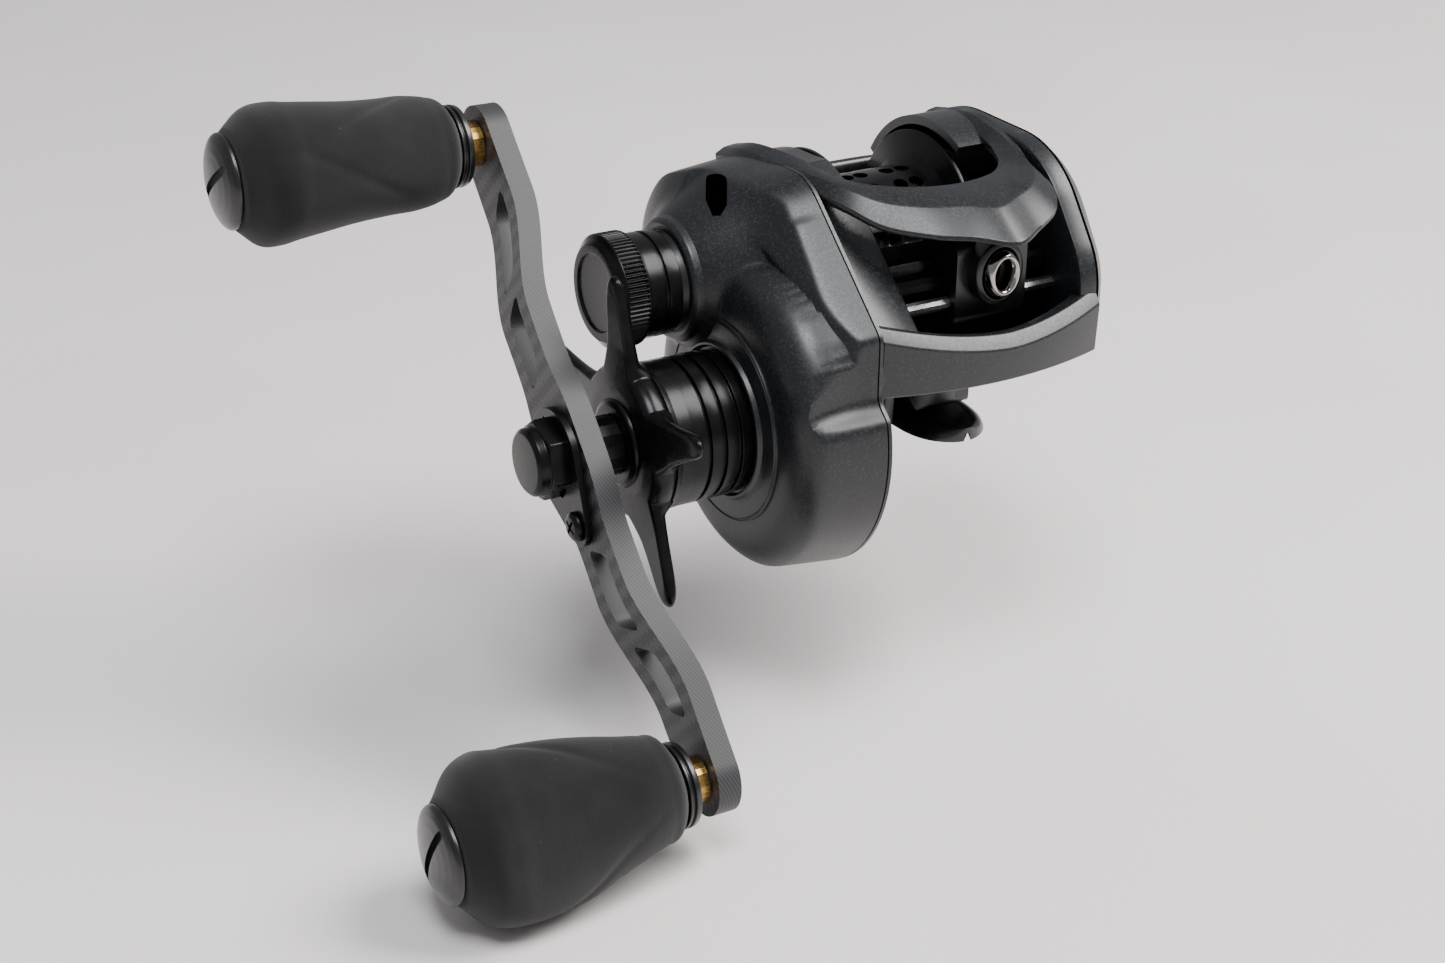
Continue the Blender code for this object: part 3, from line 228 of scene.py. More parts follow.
def grip_points(turn):
    """Oval rings along the knob: half widths by the station curves, drawn to a squarer oval in the
    middle, with four soft creases that run in as Vs from the wide end."""
    inward = np.linspace(0, 31.9, 90)[:, None]
    around = full_turn(128)[None, :]
    s = GRIP_STATIONS
    thin = smooth_between(inward, s[:, 0], s[:, 1])
    plain = smooth_between(inward, s[:, 0], s[:, 2])
    hollow = smooth_between(inward, s[:, 0], s[:, 3])
    wide = np.where(np.cos(around) > 0, plain, hollow)
    power = 2.0 + 0.35 * np.exp(-((inward - 9) / 9) ** 2)
    unit = (np.abs(np.cos(around)) ** power + np.abs(np.sin(around)) ** power) ** (-1 / power)
    u = wide * unit * np.cos(around)
    w = thin * unit * np.sin(around)
    # Each V crease: a shallow groove where the distance inward meets a line fanning round the side.
    crease = np.zeros_like(u)
    for centre in (0.0, np.pi):
        lean = np.abs((around - centre + np.pi) % (2 * np.pi) - np.pi)
        line = 8.0 + 15.0 * lean
        crease += 0.28 * np.exp(-((inward - line) / 1.6) ** 2) * np.exp(-(lean / 1.1) ** 4)
    shrink = 1 - crease / np.hypot(u, w)
    u, w = u * shrink, w * shrink
    ring = np.stack(
        [GRIP_OUT - inward + 0 * u, u * np.cos(turn) - w * np.sin(turn), u * np.sin(turn) + w * np.cos(turn)],
        -1,
    )
    bore = ring.copy()
    bore[..., 1:] *= 4.15 / np.linalg.norm(ring[..., 1:], axis=-1, keepdims=True)
    return np.concatenate([bore[:1], ring, bore[-1:]])


for side, (centre, turn) in KNOBS.items():
    grid = grip_points(turn)
    grid[..., 1:] += centre
    grip = skin("foam_grip_" + side, grid, (True, True))
    put(grip, FOAM, side + "_knob", "eva_foam", "knob_grip_" + side)

# ---- Knob caps and cores -----------------------------------------------------------------------
# Moulded satin-black plastic: a domed cap with one screwdriver slot snaps into the outer end, and a
# stepped collar shows at the inner end of the core.


def rounded(corners, radius, steps=4):
    """A profile with each corner turned into a small arc: a quadratic curve between two points set
    back from the corner by the radius, or by less than half of a short side."""
    corners = np.array(corners, float)
    before = np.roll(corners, 1, 0) - corners
    after = np.roll(corners, -1, 0) - corners
    back = np.minimum(radius, 0.45 * np.linalg.norm(before, axis=1))[:, None]
    ahead = np.minimum(radius, 0.45 * np.linalg.norm(after, axis=1))[:, None]
    start = corners + before / np.maximum(np.linalg.norm(before, axis=1, keepdims=True), 1e-9) * back
    end = corners + after / np.maximum(np.linalg.norm(after, axis=1, keepdims=True), 1e-9) * ahead
    t = np.linspace(0, 1, steps + 1)[None, :, None]
    curve = (1 - t) ** 2 * start[:, None] + 2 * t * (1 - t) * corners[:, None] + t * t * end[:, None]
    on_axis = (corners[:, 1] < 1e-6)[:, None, None]
    return np.where(on_axis, corners[:, None], curve).reshape(-1, 2)


def turned(name, profile, centre, count=96, radius=0.15, ripple=None):
    """A profile of (x, radius) corners, rounded and carried round the axis at centre (y, z)."""
    line = rounded(profile, radius)
    angle = full_turn(count)
    r = np.repeat(line[:, 1:2], count, 1)
    if ripple is not None:
        r = r - ripple(line[:, :1], line[:, 1:2], angle[None, :])
    x = np.repeat(line[:, :1], count, 1)
    grid = np.stack([x, centre[0] + r * np.cos(angle), centre[1] + r * np.sin(angle)], -1)
    return skin(name, grid, (True, True))


def cut_away(piece, *cutters):
    """Cuts closed cutters out of a piece and removes them."""
    for cutter in cutters:
        step = piece.modifiers.new("cut", "BOOLEAN")
        step.operation = "DIFFERENCE"
        step.object = cutter
        graph = bpy.context.evaluated_depsgraph_get()
        mesh = bpy.data.meshes.new_from_object(piece.evaluated_get(graph))
        piece.modifiers.clear()
        piece.data = mesh
        bpy.data.objects.remove(cutter)
    mesh.shade_smooth()
    mesh.set_sharp_from_angle(angle=radians(32))
    return piece


def block(name, low, high, turn=0.0, centre=(0.0, 0.0), radius=0.0):
    """A closed box from low to high in mm, turned about X through centre (y, z)."""
    low, high = np.array(low, float), np.array(high, float)
    side = np.array([(0, 0), (1, 0), (1, 1), (0, 1)], float)
    ring = low[1:] + side * (high[1:] - low[1:])
    ring = rounded(ring + 100, radius, 4) - 100 if radius else ring
    c, s = np.cos(turn), np.sin(turn)
    ring = np.stack([ring[:, 0] * c - ring[:, 1] * s, ring[:, 0] * s + ring[:, 1] * c], -1) + np.array(centre)
    return prism(name, ring, low[0], high[0])


def prism(name, ring, x0, x1):
    """An outline of (y, z) points carried along X from x0 to x1, with its ends closed by fans."""
    ring = np.asarray(ring, float)
    middle = np.repeat(ring.mean(0)[None], len(ring), 0)
    rows = [
        np.column_stack([np.full(len(ring), x), loop])
        for x, loop in ((x0, middle), (x0, ring), (x1, ring), (x1, middle))
    ]
    return skin(name, np.array(rows), (False, True))


def black_plastic():
    """Satin ABS, moulded: deep black with a faint waviness left by the mould."""
    made, tree, shader = new_material(
        "abs_black_satin", Roughness=0.3, Metallic=0.0, Coat_Weight=0.15, Coat_Roughness=0.2
    )
    place = own_place(tree)
    wave = cloudy(tree, place, 1.4, 3.0)
    fine = cloudy(tree, place, 0.12, 2.0)
    base = ramp(tree, wave, 0.3, 0.7, linear("#0b0b0c"), linear("#111213"))
    rough = between(tree, wave, 0.24, 0.38)
    wire(tree, shader, base, rough, (fine, 0.12, 0.02))
    return made


PLASTIC = black_plastic()
CAP_RIM = 91.15
for side, (centre, turn) in KNOBS.items():
    dome = [(CAP_RIM, 0), (CAP_RIM, 6.3), (CAP_RIM + 0.35, 6.72)]
    dome += [
        (CAP_RIM + 0.45 + 2.0 * np.sin(a), 6.72 * np.cos(a)) for a in np.radians([8, 20, 34, 50, 66, 80])
    ]
    dome += [(CAP_RIM + 2.45, 0)]
    cap = turned("knob_end_cap_" + side, dome, centre, 96, 0.2)
    slot_turn = turn + radians(8 if side == "upper" else -55)
    cut_away(
        cap, block("slot", (CAP_RIM + 1.15, -5.6, -0.62), (CAP_RIM + 5, 5.6, 0.62), slot_turn, centre, 0.55)
    )
    put(cap, PLASTIC, side + "_knob", "black_plastic", "knob_cap_" + side)
    core = [
        (56.85, 2.2), (56.85, 4.9), (57.1, 5.75), (57.9, 5.95), (58.1, 5.5), (58.3, 5.5), (58.5, 5.95),
        (58.85, 5.95),
        (58.85, 4.0), (90.4, 4.0), (90.4, 3.45), (82.2, 3.45), (82.2, 2.2),
    ]
    collar = turned("knob_core_collar_" + side, core, centre, 96, 0.12)
    put(collar, PLASTIC, side + "_knob", "black_plastic", "knob_core_" + side)

# ---- Carbon handle -----------------------------------------------------------------------------
# A cranked plate cut from a 3.4 mm carbon-fibre laminate: a woven twill shows on its face, the layers
# show as fine slanting lines on its milled edges, and two slots lighten each arm.


def carbon_material():
    """Carbon laminate, milled: grey twill of about 1 mm tows on the faces, striped cut edges."""
    made, tree, shader = new_material(
        "carbon_fibre_laminate", Metallic=0.0, Coat_Weight=0.08, Coat_Roughness=0.3
    )
    place = own_place(tree)
    along = node(tree, "ShaderNodeMapping", {"Vector": place, "Rotation": (-HANDLE_TURN + radians(45), 0, 0)})
    parts = node(tree, "ShaderNodeSeparateXYZ", {0: along.outputs[0]})
    tow = 1 / (0.95 * MM)
    u = calc(tree, "MULTIPLY", parts.outputs[1], tow)
    v = calc(tree, "MULTIPLY", parts.outputs[2], tow)
    cell_u = calc(tree, "FLOOR", u)
    cell_v = calc(tree, "FLOOR", v)
    total = calc(tree, "ADD", cell_u, cell_v)
    step = calc(tree, "FLOORED_MODULO", total, 4.0)
    warp_on_top = calc(tree, "GREATER_THAN", step, 1.5)
    strand = cloudy(tree, along.outputs[0], 0.25, 3.0)
    warp = ramp(tree, strand, 0.3, 0.7, linear("#28282a"), linear("#464649"))
    weft = ramp(tree, strand, 0.3, 0.7, linear("#161617"), linear("#222224"))
    weave = blend(tree, warp_on_top, weft, warp)
    # Milled edges: the laminate's light and dark layers, each 0.25 mm, at a slant to the plate.
    slant = node(tree, "ShaderNodeMapping", {"Vector": place, "Rotation": (-HANDLE_TURN, 0, 0)})
    slant_parts = node(tree, "ShaderNodeSeparateXYZ", {0: slant.outputs[0]})
    lean = calc(tree, "MULTIPLY", slant_parts.outputs[1], 0.55)
    depth = calc(tree, "ADD", slant_parts.outputs[0], lean)
    phase = calc(tree, "MULTIPLY", depth, 2 * np.pi / (0.5 * MM))
    line = calc(tree, "SINE", phase)
    layers = ramp(tree, line, 0.0, 1.0, linear("#1e1e20"), linear("#363639"))
    facing = node(
        tree, "ShaderNodeSeparateXYZ", {0: node(tree, "ShaderNodeTexCoord").outputs["Normal"]}
    ).outputs[0]
    flat = calc(tree, "ABSOLUTE", facing)
    face = calc(tree, "GREATER_THAN", flat, 0.75)
    colour = blend(tree, face, layers, weave)
    rough = between(tree, strand, 0.48, 0.62)
    wire(tree, shader, colour, rough, (warp_on_top, 0.2, 0.02))
    return made


PLATE_LOW = 54.3
PLATE_T = 3.4
PLATE_DROP = 3.4


def arm_frame(points):
    """Turns (x, along, across) in the arm's frame into world x, y, z."""
    c, s = np.cos(HANDLE_TURN), np.sin(HANDLE_TURN)
    y = DRIVE[0] + points[..., 1] * c - points[..., 2] * s
    z = DRIVE[1] + points[..., 1] * s + points[..., 2] * c
    return np.stack([points[..., 0], y, z], -1)


def handle_plate():
    """Rectangles carried along the arm: half width from a round hub, a waist and a round end; the
    plate steps back by the drop between 20 and 38 mm out as an eased step."""
    end = 5.3
    tip = CRANK + end * np.sin(np.linspace(0, np.pi / 2, 16))
    along = np.concatenate([-tip[::-1], np.linspace(-CRANK + 0.4, CRANK - 0.4, 180), tip])
    reach = np.abs(along)
    round_end = np.sqrt(np.maximum(end**2 - np.maximum(reach - CRANK, 0) ** 2, 0.0))
    hub = 1.5 * np.exp(-((reach / 9.5) ** 4))
    waist = 0.35 * np.exp(-(((reach - 30) / 9) ** 2))
    half = np.where(reach > CRANK, round_end, end + hub + waist)
    share = np.clip((reach - 20) / 18, 0, 1)
    low = PLATE_LOW - PLATE_DROP * share**2 * (3 - 2 * share)
    corner = np.array([(0, -1), (1, -1), (1, 1), (0, 1)])
    x = low[:, None] + corner[None, :, 0] * PLATE_T
    across = half[:, None] * corner[None, :, 1]
    grid = np.stack([x, np.repeat(along[:, None], 4, 1), across], -1)
    return skin("carbon_handle_plate", arm_frame(grid), (False, True), 40)


def slot_cutter(start, end, slope):
    """A slot through the arm: a lozenge with round corners whose ends lean by the slope."""
    half = 2.35
    ring = np.array(
        [(start + slope, -half), (end + slope, -half), (end - slope, half), (start - slope, half)]
    )
    ring = rounded(ring + 200, 1.6, 6) - 200
    local = np.column_stack([np.zeros(len(ring)), ring])
    return prism("slot", arm_frame(local)[:, 1:], 40, 70)


def hole_cutter(centre, radius, x0=40, x1=70, count=48):
    angle = full_turn(count)
    return prism("hole", np.array(centre) + radius * way_at(angle), x0, x1)


def eased(piece, width, segments, angle):
    """Rounds the edges that turn by more than the angle, to a width in mm."""
    edge = piece.modifiers.new("edge", "BEVEL")
    edge.width = width * MM
    edge.segments = segments
    edge.limit_method = "ANGLE"
    edge.angle_limit = radians(angle)
    return edge


plate = handle_plate()
slots = [
    slot_cutter(-22.5, -11.5, 1.2), slot_cutter(-38.5, -26.0, 1.2), slot_cutter(14.5, 26.0, -1.2),
    slot_cutter(29.0, 39.0, -1.2),
]
holes = [hole_cutter(spot, 2.15) for spot, _ in KNOBS.values()] + [hole_cutter(DRIVE, 3.05)]
cut_away(plate, *slots, *holes)
eased(plate, 0.32, 3, 50).harden_normals = True
put(plate, carbon_material(), "handle", "carbon_fibre", "handle_plate")

# ---- Handle nut, retainer and screw ------------------------------------------------------------
# A black hexagon nut with a domed round end holds the handle on; a thin plate with one cross-head
# screw stops it from turning.


def anodised():
    """Anodised aluminium, turned then dyed black: semi-gloss with faint turning marks."""
    made, tree, shader = new_material("aluminium_anodised_black", Metallic=0.75)
    place = own_place(tree)
    stretch = node(tree, "ShaderNodeMapping", {"Vector": place, "Scale": (1.0, 0.15, 0.15)})
    marks = cloudy(tree, stretch.outputs[0], 0.15, 3.0)
    smear = cloudy(tree, place, 3, 4.0)
    base = ramp(tree, smear, 0.3, 0.75, linear("#131314"), linear("#1e1e20"))
    rough = between(tree, smear, 0.2, 0.34)
    wire(tree, shader, base, rough, (marks, 0.08, 0.02))
    return made


ANODISED = anodised()
NUT_BACK = 58.05


def hexed(x, r, angle):
    """How far a hexagon's flats lie inside the corner radius, on the nut's hexagonal length only."""
    flat = 5.0 / np.cos((angle - HANDLE_TURN + np.pi / 6) % (np.pi / 3) - np.pi / 6)
    return np.where((r > 5.2), np.maximum(r - np.minimum(r, flat), 0), 0)


nut = turned(
    "handle_nut_black",
    [
        (NUT_BACK, 0), (NUT_BACK, 5.7), (61.3, 5.72), (61.7, 5.35), (61.75, 4.85), (62.9, 4.8), (63.45, 4.2),
        (63.5, 0),
    ],
    DRIVE, 144, 0.22, hexed,
)
put(nut, ANODISED, "handle", "black_anodised", "handle_nut")


def retainer_plate():
    """A thin plate: a large round about the nut, drawn out to a small round about its screw."""
    angle = full_turn(96)
    way = way_at(angle)
    reach = way[:, 0] * 10.3 + 2.9
    ring = np.where((reach > 6.9)[:, None], np.array([10.3, 0]) + 2.9 * way, 6.9 * way)
    local = np.column_stack([np.zeros(len(ring)), ring])
    made = prism("nut_retainer_plate", arm_frame(local)[:, 1:], 58.15, 59.15)
    return cut_away(made, hole_cutter(DRIVE, 5.78, count=6))


retainer = retainer_plate()
eased(retainer, 0.18, 2, 30)
put(retainer, ANODISED, "handle", "black_anodised", "nut_retainer")

SCREW_SPOT = arm_frame(np.array([0.0, 10.3, 0.0]))[1:]
screw = turned(
    "retainer_screw_head", [(59.2, 0), (59.2, 2.1), (59.75, 2.1), (60.2, 1.5), (60.3, 0)], SCREW_SPOT, 48, 0.2
)
for quarter in (0.3, 0.3 + np.pi / 2):
    cut_away(
        screw, block("cross", (59.75, -1.25, -0.24), (62, 1.25, 0.24), HANDLE_TURN + quarter, SCREW_SPOT)
    )
put(screw, ANODISED, "handle", "steel", "retainer_screw")

# ---- Star drag ---------------------------------------------------------------------------------
# A five-armed aluminium wheel on a grooved barrel; it squeezes the drag discs on the drive shaft.

STAR_WAYS = np.radians([20.0, 94.0, 164.0, 236.0, 307.0])


def star_wheel():
    """Polar grid: the rim radius is a hub circle with a tapering round-ended arm at each angle. The
    front falls from a boss to the arm's tip; the edge is rounded by a quarter-round in the radius."""
    angle = full_turn(720)
    off = np.abs((angle[:, None] - STAR_WAYS[None, :] + np.pi) % (2 * np.pi) - np.pi).min(1)
    reach = np.linspace(9, 24.1, 400)
    half = 1.25 + 4.3 * np.exp(-((reach - 10.0) / 4.3)) + 0.35 * np.sin((reach - 9) / 15 * np.pi)
    half = np.where(reach > 22.8, half * np.sqrt(np.maximum(1 - ((reach - 22.8) / 1.3) ** 2, 0)), half)
    inside = np.arctan2(half, reach)[None, :] >= off[:, None]
    rim = np.where(inside, reach[None, :], 0).max(1)
    rim = np.maximum(rim, 11.2)
    kernel = np.exp(-np.linspace(-2, 2, 9) ** 2)
    rim = np.convolve(np.r_[rim[-4:], rim, rim[:4]], kernel / kernel.sum(), "valid")
    share = np.concatenate(
        [[0.0], np.linspace(0.25, 0.9, 26), 0.9 + 0.1 * np.sin(np.linspace(0, np.pi / 2, 10)[1:])]
    )[:, None]
    r = share * rim[None, :]
    far = np.clip((r - 11.5) / 12, 0, 1)
    back = 45.3 + 1.5 * np.clip((r - 11) / 1.2, 0, 1) + 0.8 * far
    crown = 49.3 - 0.5 * np.clip((r - 8) / 6, 0, 1) + 0.7 * far**1.5
    edge_in = np.clip((share - 0.9) / 0.1, 0, 1)
    dip = (1 - np.sqrt(np.maximum(1 - edge_in**2, 0))) * 0.5
    front = crown - (crown - back) * dip
    rear = back + (crown - back) * dip
    y = DRIVE[0] + r * np.cos(angle)
    z = DRIVE[1] + r * np.sin(angle)
    top = np.stack([front, y, z], -1)
    low = np.stack([rear, y, z], -1)
    return skin("star_wheel_arms", np.concatenate([low[:-1], top[::-1]]), (False, True), 50)


star = star_wheel()
put(star, ANODISED, "star", "black_anodised", "star_drag")
barrel = [(33.3, 6.0), (33.3, 10.3)]
for groove in (35.0, 37.4, 39.8):
    barrel += [(groove, 10.45), (groove + 0.05, 9.85), (groove + 0.5, 9.85), (groove + 0.55, 10.45)]
barrel += [(42.6, 10.45), (44.6, 10.6), (45.5, 10.9), (45.9, 9.0), (45.9, 3.1), (34.4, 3.1), (34.4, 6.0)]
star_barrel = turned("star_barrel", barrel, DRIVE, 128, 0.1)
put(star_barrel, ANODISED, "star", "black_anodised", "star_drag")
star_boss = turned(
    "star_boss", [(48.8, 3.1), (48.8, 6.6), (49.7, 6.2), (50.0, 5.6), (50.0, 3.1)], DRIVE, 96, 0.2
)
put(star_boss, ANODISED, "star", "black_anodised", "star_drag")

# ---- Tension cap -------------------------------------------------------------------------------
# The cast-control cap: black aluminium, a plain grooved skirt, a knurled grip and an inset face.


def knurl(x, r, angle):
    """Fine V grooves along the axis on the grip's length only, 72 of them round the cap."""
    wave = np.abs((angle * 72 / (2 * np.pi)) % 1 - 0.5) * 2
    inside = (x > 41.75) & (x < 44.9) & (r > 7.9)
    return np.where(inside, 0.42 * wave, 0)


cap = turned(
    "tension_cap_knurled",
    [
        (36.2, 6.4), (36.2, 7.5), (38.3, 7.6), (38.35, 7.25), (38.9, 7.25), (38.95, 7.6), (41.2, 7.6),
        (41.5, 8.2),
        (41.75, 8.25), (43.3, 8.25), (44.9, 8.25), (45.1, 8.2), (45.5, 7.6), (46.2, 6.9), (46.2, 5.7),
        (45.85, 5.5), (45.85, 0), (43.5, 0), (43.5, 6.4),
    ],
    SPOOL, 576, 0.1, knurl,
)
put(cap, ANODISED, "tension_cap", "black_anodised", "tension_cap")

# ---- Handle side plate -------------------------------------------------------------------------
# A thin die-cast cover over the gears, painted satin charcoal with a fine blue flake. Soft ridges
# flow over it from the oiling hole, round the tension boss and the flat dish behind the star.


def body_paint():
    """Two-coat paint on die-cast magnesium: charcoal base with 0.22 mm metallic flake, satin clear."""
    made, tree, shader = new_material(
        "magnesium_satin_charcoal", Metallic=0.1, Coat_Weight=0.15, Coat_Roughness=0.25
    )
    place = own_place(tree)
    flake = node(tree, "ShaderNodeTexVoronoi", {"Vector": place, "Scale": 1 / (0.22 * MM)})
    shine = node(tree, "ShaderNodeSeparateColor", {0: flake.outputs["Color"]}).outputs[0]
    cloud = cloudy(tree, place, 9, 4.0)
    base = ramp(tree, cloud, 0.3, 0.7, linear("#0b0c0e"), linear("#101214"))
    glint = ramp(tree, shine, 0.72, 1.0, (0, 0, 0, 1), (0.5, 0.5, 0.5, 1))
    colour = blend(tree, glint, base, linear("#2b333c"))
    rough = between(tree, shine, 0.34, 0.46)
    wire(tree, shader, colour, rough, (shine, 0.05, 0.02))
    return made


PAINT = body_paint()
SHOULDER = np.array([7.5, 23.5])
NOSE = np.array([32.5, 18.1])
LOBE = np.array([10.0, 7.2])
SLOPE_WAY = np.array([0.65, 0.76])
HANDLE_OUTLINE = [(DRIVE, 23.3), (SPOOL, 17.6), (SHOULDER, 15.1), (NOSE, 3.0)]
PILLAR_FRONT = 34.5
RIM_FRONT = 38.8
RIM_STEP = 7.0
STEP_HEIGHT = 4.6
HOOD_SEAT = 1.9


def hull(circles, count, soften=4):
    """The outline that wraps circles of (centre, radius): for each direction the farthest point, then
    evened out along its length and lightly smoothed."""
    angle = full_turn(4 * count)
    way = way_at(angle)
    centres = np.array([c for c, _ in circles], float)
    radii = np.array([r for _, r in circles])
    best = (way @ centres.T + radii).argmax(1)
    line = centres[best] + radii[best][:, None] * way
    return evened(line, count, soften)


def evened(line, count, soften):
    """A closed line with its points spaced evenly, then averaged with their neighbours."""
    line = np.concatenate([line, line[:1]])
    length = np.r_[0, np.cumsum(np.linalg.norm(np.diff(line, axis=0), axis=1))]
    place = np.linspace(0, length[-1], count, endpoint=False)
    ring = np.stack([np.interp(place, length, line[:, i]) for i in (0, 1)], -1)
    for _ in range(soften):
        ring = (np.roll(ring, 1, 0) + 2 * ring + np.roll(ring, -1, 0)) / 4
    return ring


def notched(ring, soften=5):
    """The handle side's outline: above the gear rim's step, its front stands back in a flat pillar,
    and its top is let down where the hood's arm lies on it."""
    y, z = ring[:, 0], ring[:, 1]
    rise = np.clip((z - RIM_STEP) / STEP_HEIGHT, 0, 1)
    limit = RIM_FRONT - (RIM_FRONT - PILLAR_FRONT) * rise * rise * (3 - 2 * rise)
    seat = HOOD_SEAT * np.exp(-(((y - 1) / 11) ** 4)) * np.clip((z - 30) / 5, 0, 1)
    return evened(np.column_stack([np.minimum(y, limit), z - seat]), len(ring), soften)


def over(*fields, soft=0.45):
    """A smooth maximum of several height fields: the log of the sum of their exponentials."""
    stack = np.stack(np.broadcast_arrays(*fields)) / soft
    top = stack.max(0)
    return soft * (top + np.log(np.exp(stack - top).sum(0)))


def ridge(points, bends, soft_inside, fall):
    """Height either side of a crest path through (y, z, height) bends: on the inner side it eases
    away by soft_inside, and on the outer side it falls away by fall for each mm."""
    bends = np.array(bends, float)
    t = np.linspace(0, len(bends) - 1, 200)
    path = np.stack([smooth_between(t, np.arange(len(bends)), bends[:, i]) for i in range(3)], -1)
    away = points[..., None, :] - path[:, :2]
    near = np.linalg.norm(away, axis=-1).argmin(-1)
    step = np.gradient(path[:, :2], axis=0)
    outward = np.stack([-step[:, 1], step[:, 0]], -1) / np.linalg.norm(step, axis=1, keepdims=True)
    gap = np.linalg.norm(points - path[near, :2], axis=-1)
    inner = (np.einsum("...i,...i", points - path[near, :2], outward[near]) < 0)
    return path[near, 2] + np.where(
        inner, soft_inside * (1 - np.exp(-gap / 3.5)), -fall * (np.sqrt(gap**2 + 0.3) - 0.55)
    )


COVER_LOW = 19.65
DISH_R = 13.5
DRUM_FALL = 9.85
DRUM_EDGE = 24.2
DRUM_RISE = 7.9
DOME_AT = np.array([0.8, 19.6])
DOME_R = 17.6
DOME_TOP = 33.0
BOSS_TOP = 34.3
BOSS_R = 8.5
CREST = (
    (0.0, 34.6, 26.5), (7.2, 33.2, 27.6), (12.8, 29.8, 27.3), (20.6, 25.9, 26.2), (27.0, 22.6, 25.2),
    (31.2, 18.6, 24.0), (33.6, 13.8, 22.8), (35.2, 9.0, 22.0),
)


def cover_height(points, inset, way):
    """A smooth minimum of the rim's steep wall and, above it, the smooth maximum of: the drive drum
    with its flat dish, the dome behind the tension boss, the flared boss, and the terrace whose crest
    runs from beside the oiling hole down to the front corner."""
    r_drive = np.linalg.norm(points - DRIVE, axis=-1)
    r_spool = np.linalg.norm(points - SPOOL, axis=-1)
    from_dome = points - DOME_AT
    r_dome = np.linalg.norm(from_dome, axis=-1)
    lean = (from_dome @ np.array([-0.966, 0.259])) / np.maximum(r_dome, 1e-6)
    drum_share = np.clip((r_drive - DISH_R) / DRUM_FALL, 0, 1)
    drum = DRUM_EDGE + DRUM_RISE * np.clip(1 - drum_share**3.0, 0, 1) ** 0.42
    drum = drum - 4.0 * np.clip(r_drive - 23.2, 0, None)
    rear = np.clip((lean + 0.25) / 0.7, 0, 1)
    edge = 23.4 + 4.2 * lean
    dome_share = np.clip(r_dome / DOME_R, 0, 1)
    dome = edge + (DOME_TOP - edge) * np.clip(1 - dome_share**2.3, 0, 1) ** 0.62 - 7 * (1 - rear)
    boss = BOSS_TOP - 0.95 * np.clip(r_spool - BOSS_R, 0, None) ** 1.12
    terrace = ridge(points, CREST, -1.0, 0.75)
    body = over(drum, dome, boss, terrace)
    slope_side = np.clip((way @ SLOPE_WAY - 0.78) / 0.2, 0, 1)
    wall = COVER_LOW + inset * (9.0 - 6.4 * slope_side)
    return -over(-wall, -body, soft=0.35)


def cover_shell():
    """Rays from the line between the two axes out to the outline, with rows set by their distance in
    from it; then the same surface lowered and drawn in, as the inside of the shell."""
    ring = notched(hull(HANDLE_OUTLINE, 520))
    span = SPOOL - DRIVE
    foot = np.clip(((ring - DRIVE) @ span) / (span @ span), 0, 1)[:, None]
    core = DRIVE + foot * span
    reach = np.linalg.norm(ring - core, axis=-1)
    near = np.array(
        [
            0, 0.06, 0.13, 0.2, 0.3, 0.4, 0.5, 0.6, 0.72, 0.85, 1.0, 1.2, 1.4, 1.65, 1.9, 2.2, 2.5, 2.9, 3.3,
            3.7, 4.2, 4.7,
        ]
    )
    inset = np.concatenate([near[:, None] + 0 * reach, 4.7 + np.linspace(0, 1, 60)[1:, None] * (reach - 4.7)])
    way = (ring - core) / reach[:, None]
    whole = hull(HANDLE_OUTLINE, 2080)
    full = whole[np.linalg.norm(ring[:, None] - whole[None], axis=-1).argmin(1)]
    share = np.clip((inset - 0.4) / 2.6, 0, 1)[..., None]
    share = share * share * (3 - 2 * share) * np.clip((24 - ring[:, 1:]) / 6, 0, 1)
    flat = ring[None] * (1 - share) + full[None] * share - inset[..., None] * way[None]
    x = cover_height(flat, inset, way[None] + 0 * flat)
    top = np.concatenate([x[..., None], flat], -1)[::-1]
    inner = top[::-1].copy()
    middle = (DRIVE + SPOOL) / 2
    inner[..., 1:] = middle + (inner[..., 1:] - middle) * 0.93
    inner[..., 0] = np.maximum(COVER_LOW, inner[..., 0] - 1.7)
    return skin("gear_side_cover", np.concatenate([top, inner]), (False, True))


cover = cover_shell()
HOLE_AT = np.array([27.0, 2.6, 31.8])
HOLE_OUT = np.array([0.45, 0.78, 0.43])


def oiling_hole_cutter():
    """A rounded D, 3.0 by 6.4 mm, carried along the line in which the hole is bored."""
    side = np.cross(HOLE_OUT, (0.0, 0.0, 1.0))
    side = side / np.linalg.norm(side)
    rise = np.cross(side, HOLE_OUT)
    shape = rounded(
        np.array(
            [(-1.5, 2.6), (-1.5, -1.6), (-0.6, -3.1), (0.5, -3.1), (1.5, -0.6), (1.5, 3.3), (-0.5, 3.3)]
        ),
        0.8, 6,
    )
    flat = HOLE_AT + shape[:, :1] * side + shape[:, 1:] * rise
    middle = flat.mean(0, keepdims=True) + 0 * flat
    rows = [middle - 3.5 * HOLE_OUT, flat - 3.5 * HOLE_OUT, flat + 9 * HOLE_OUT, middle + 9 * HOLE_OUT]
    return skin("oiling_hole", np.array(rows), (False, True))


cut_away(cover, oiling_hole_cutter())
put(cover, PAINT, "frame", "body_paint", "handle_side_plate")

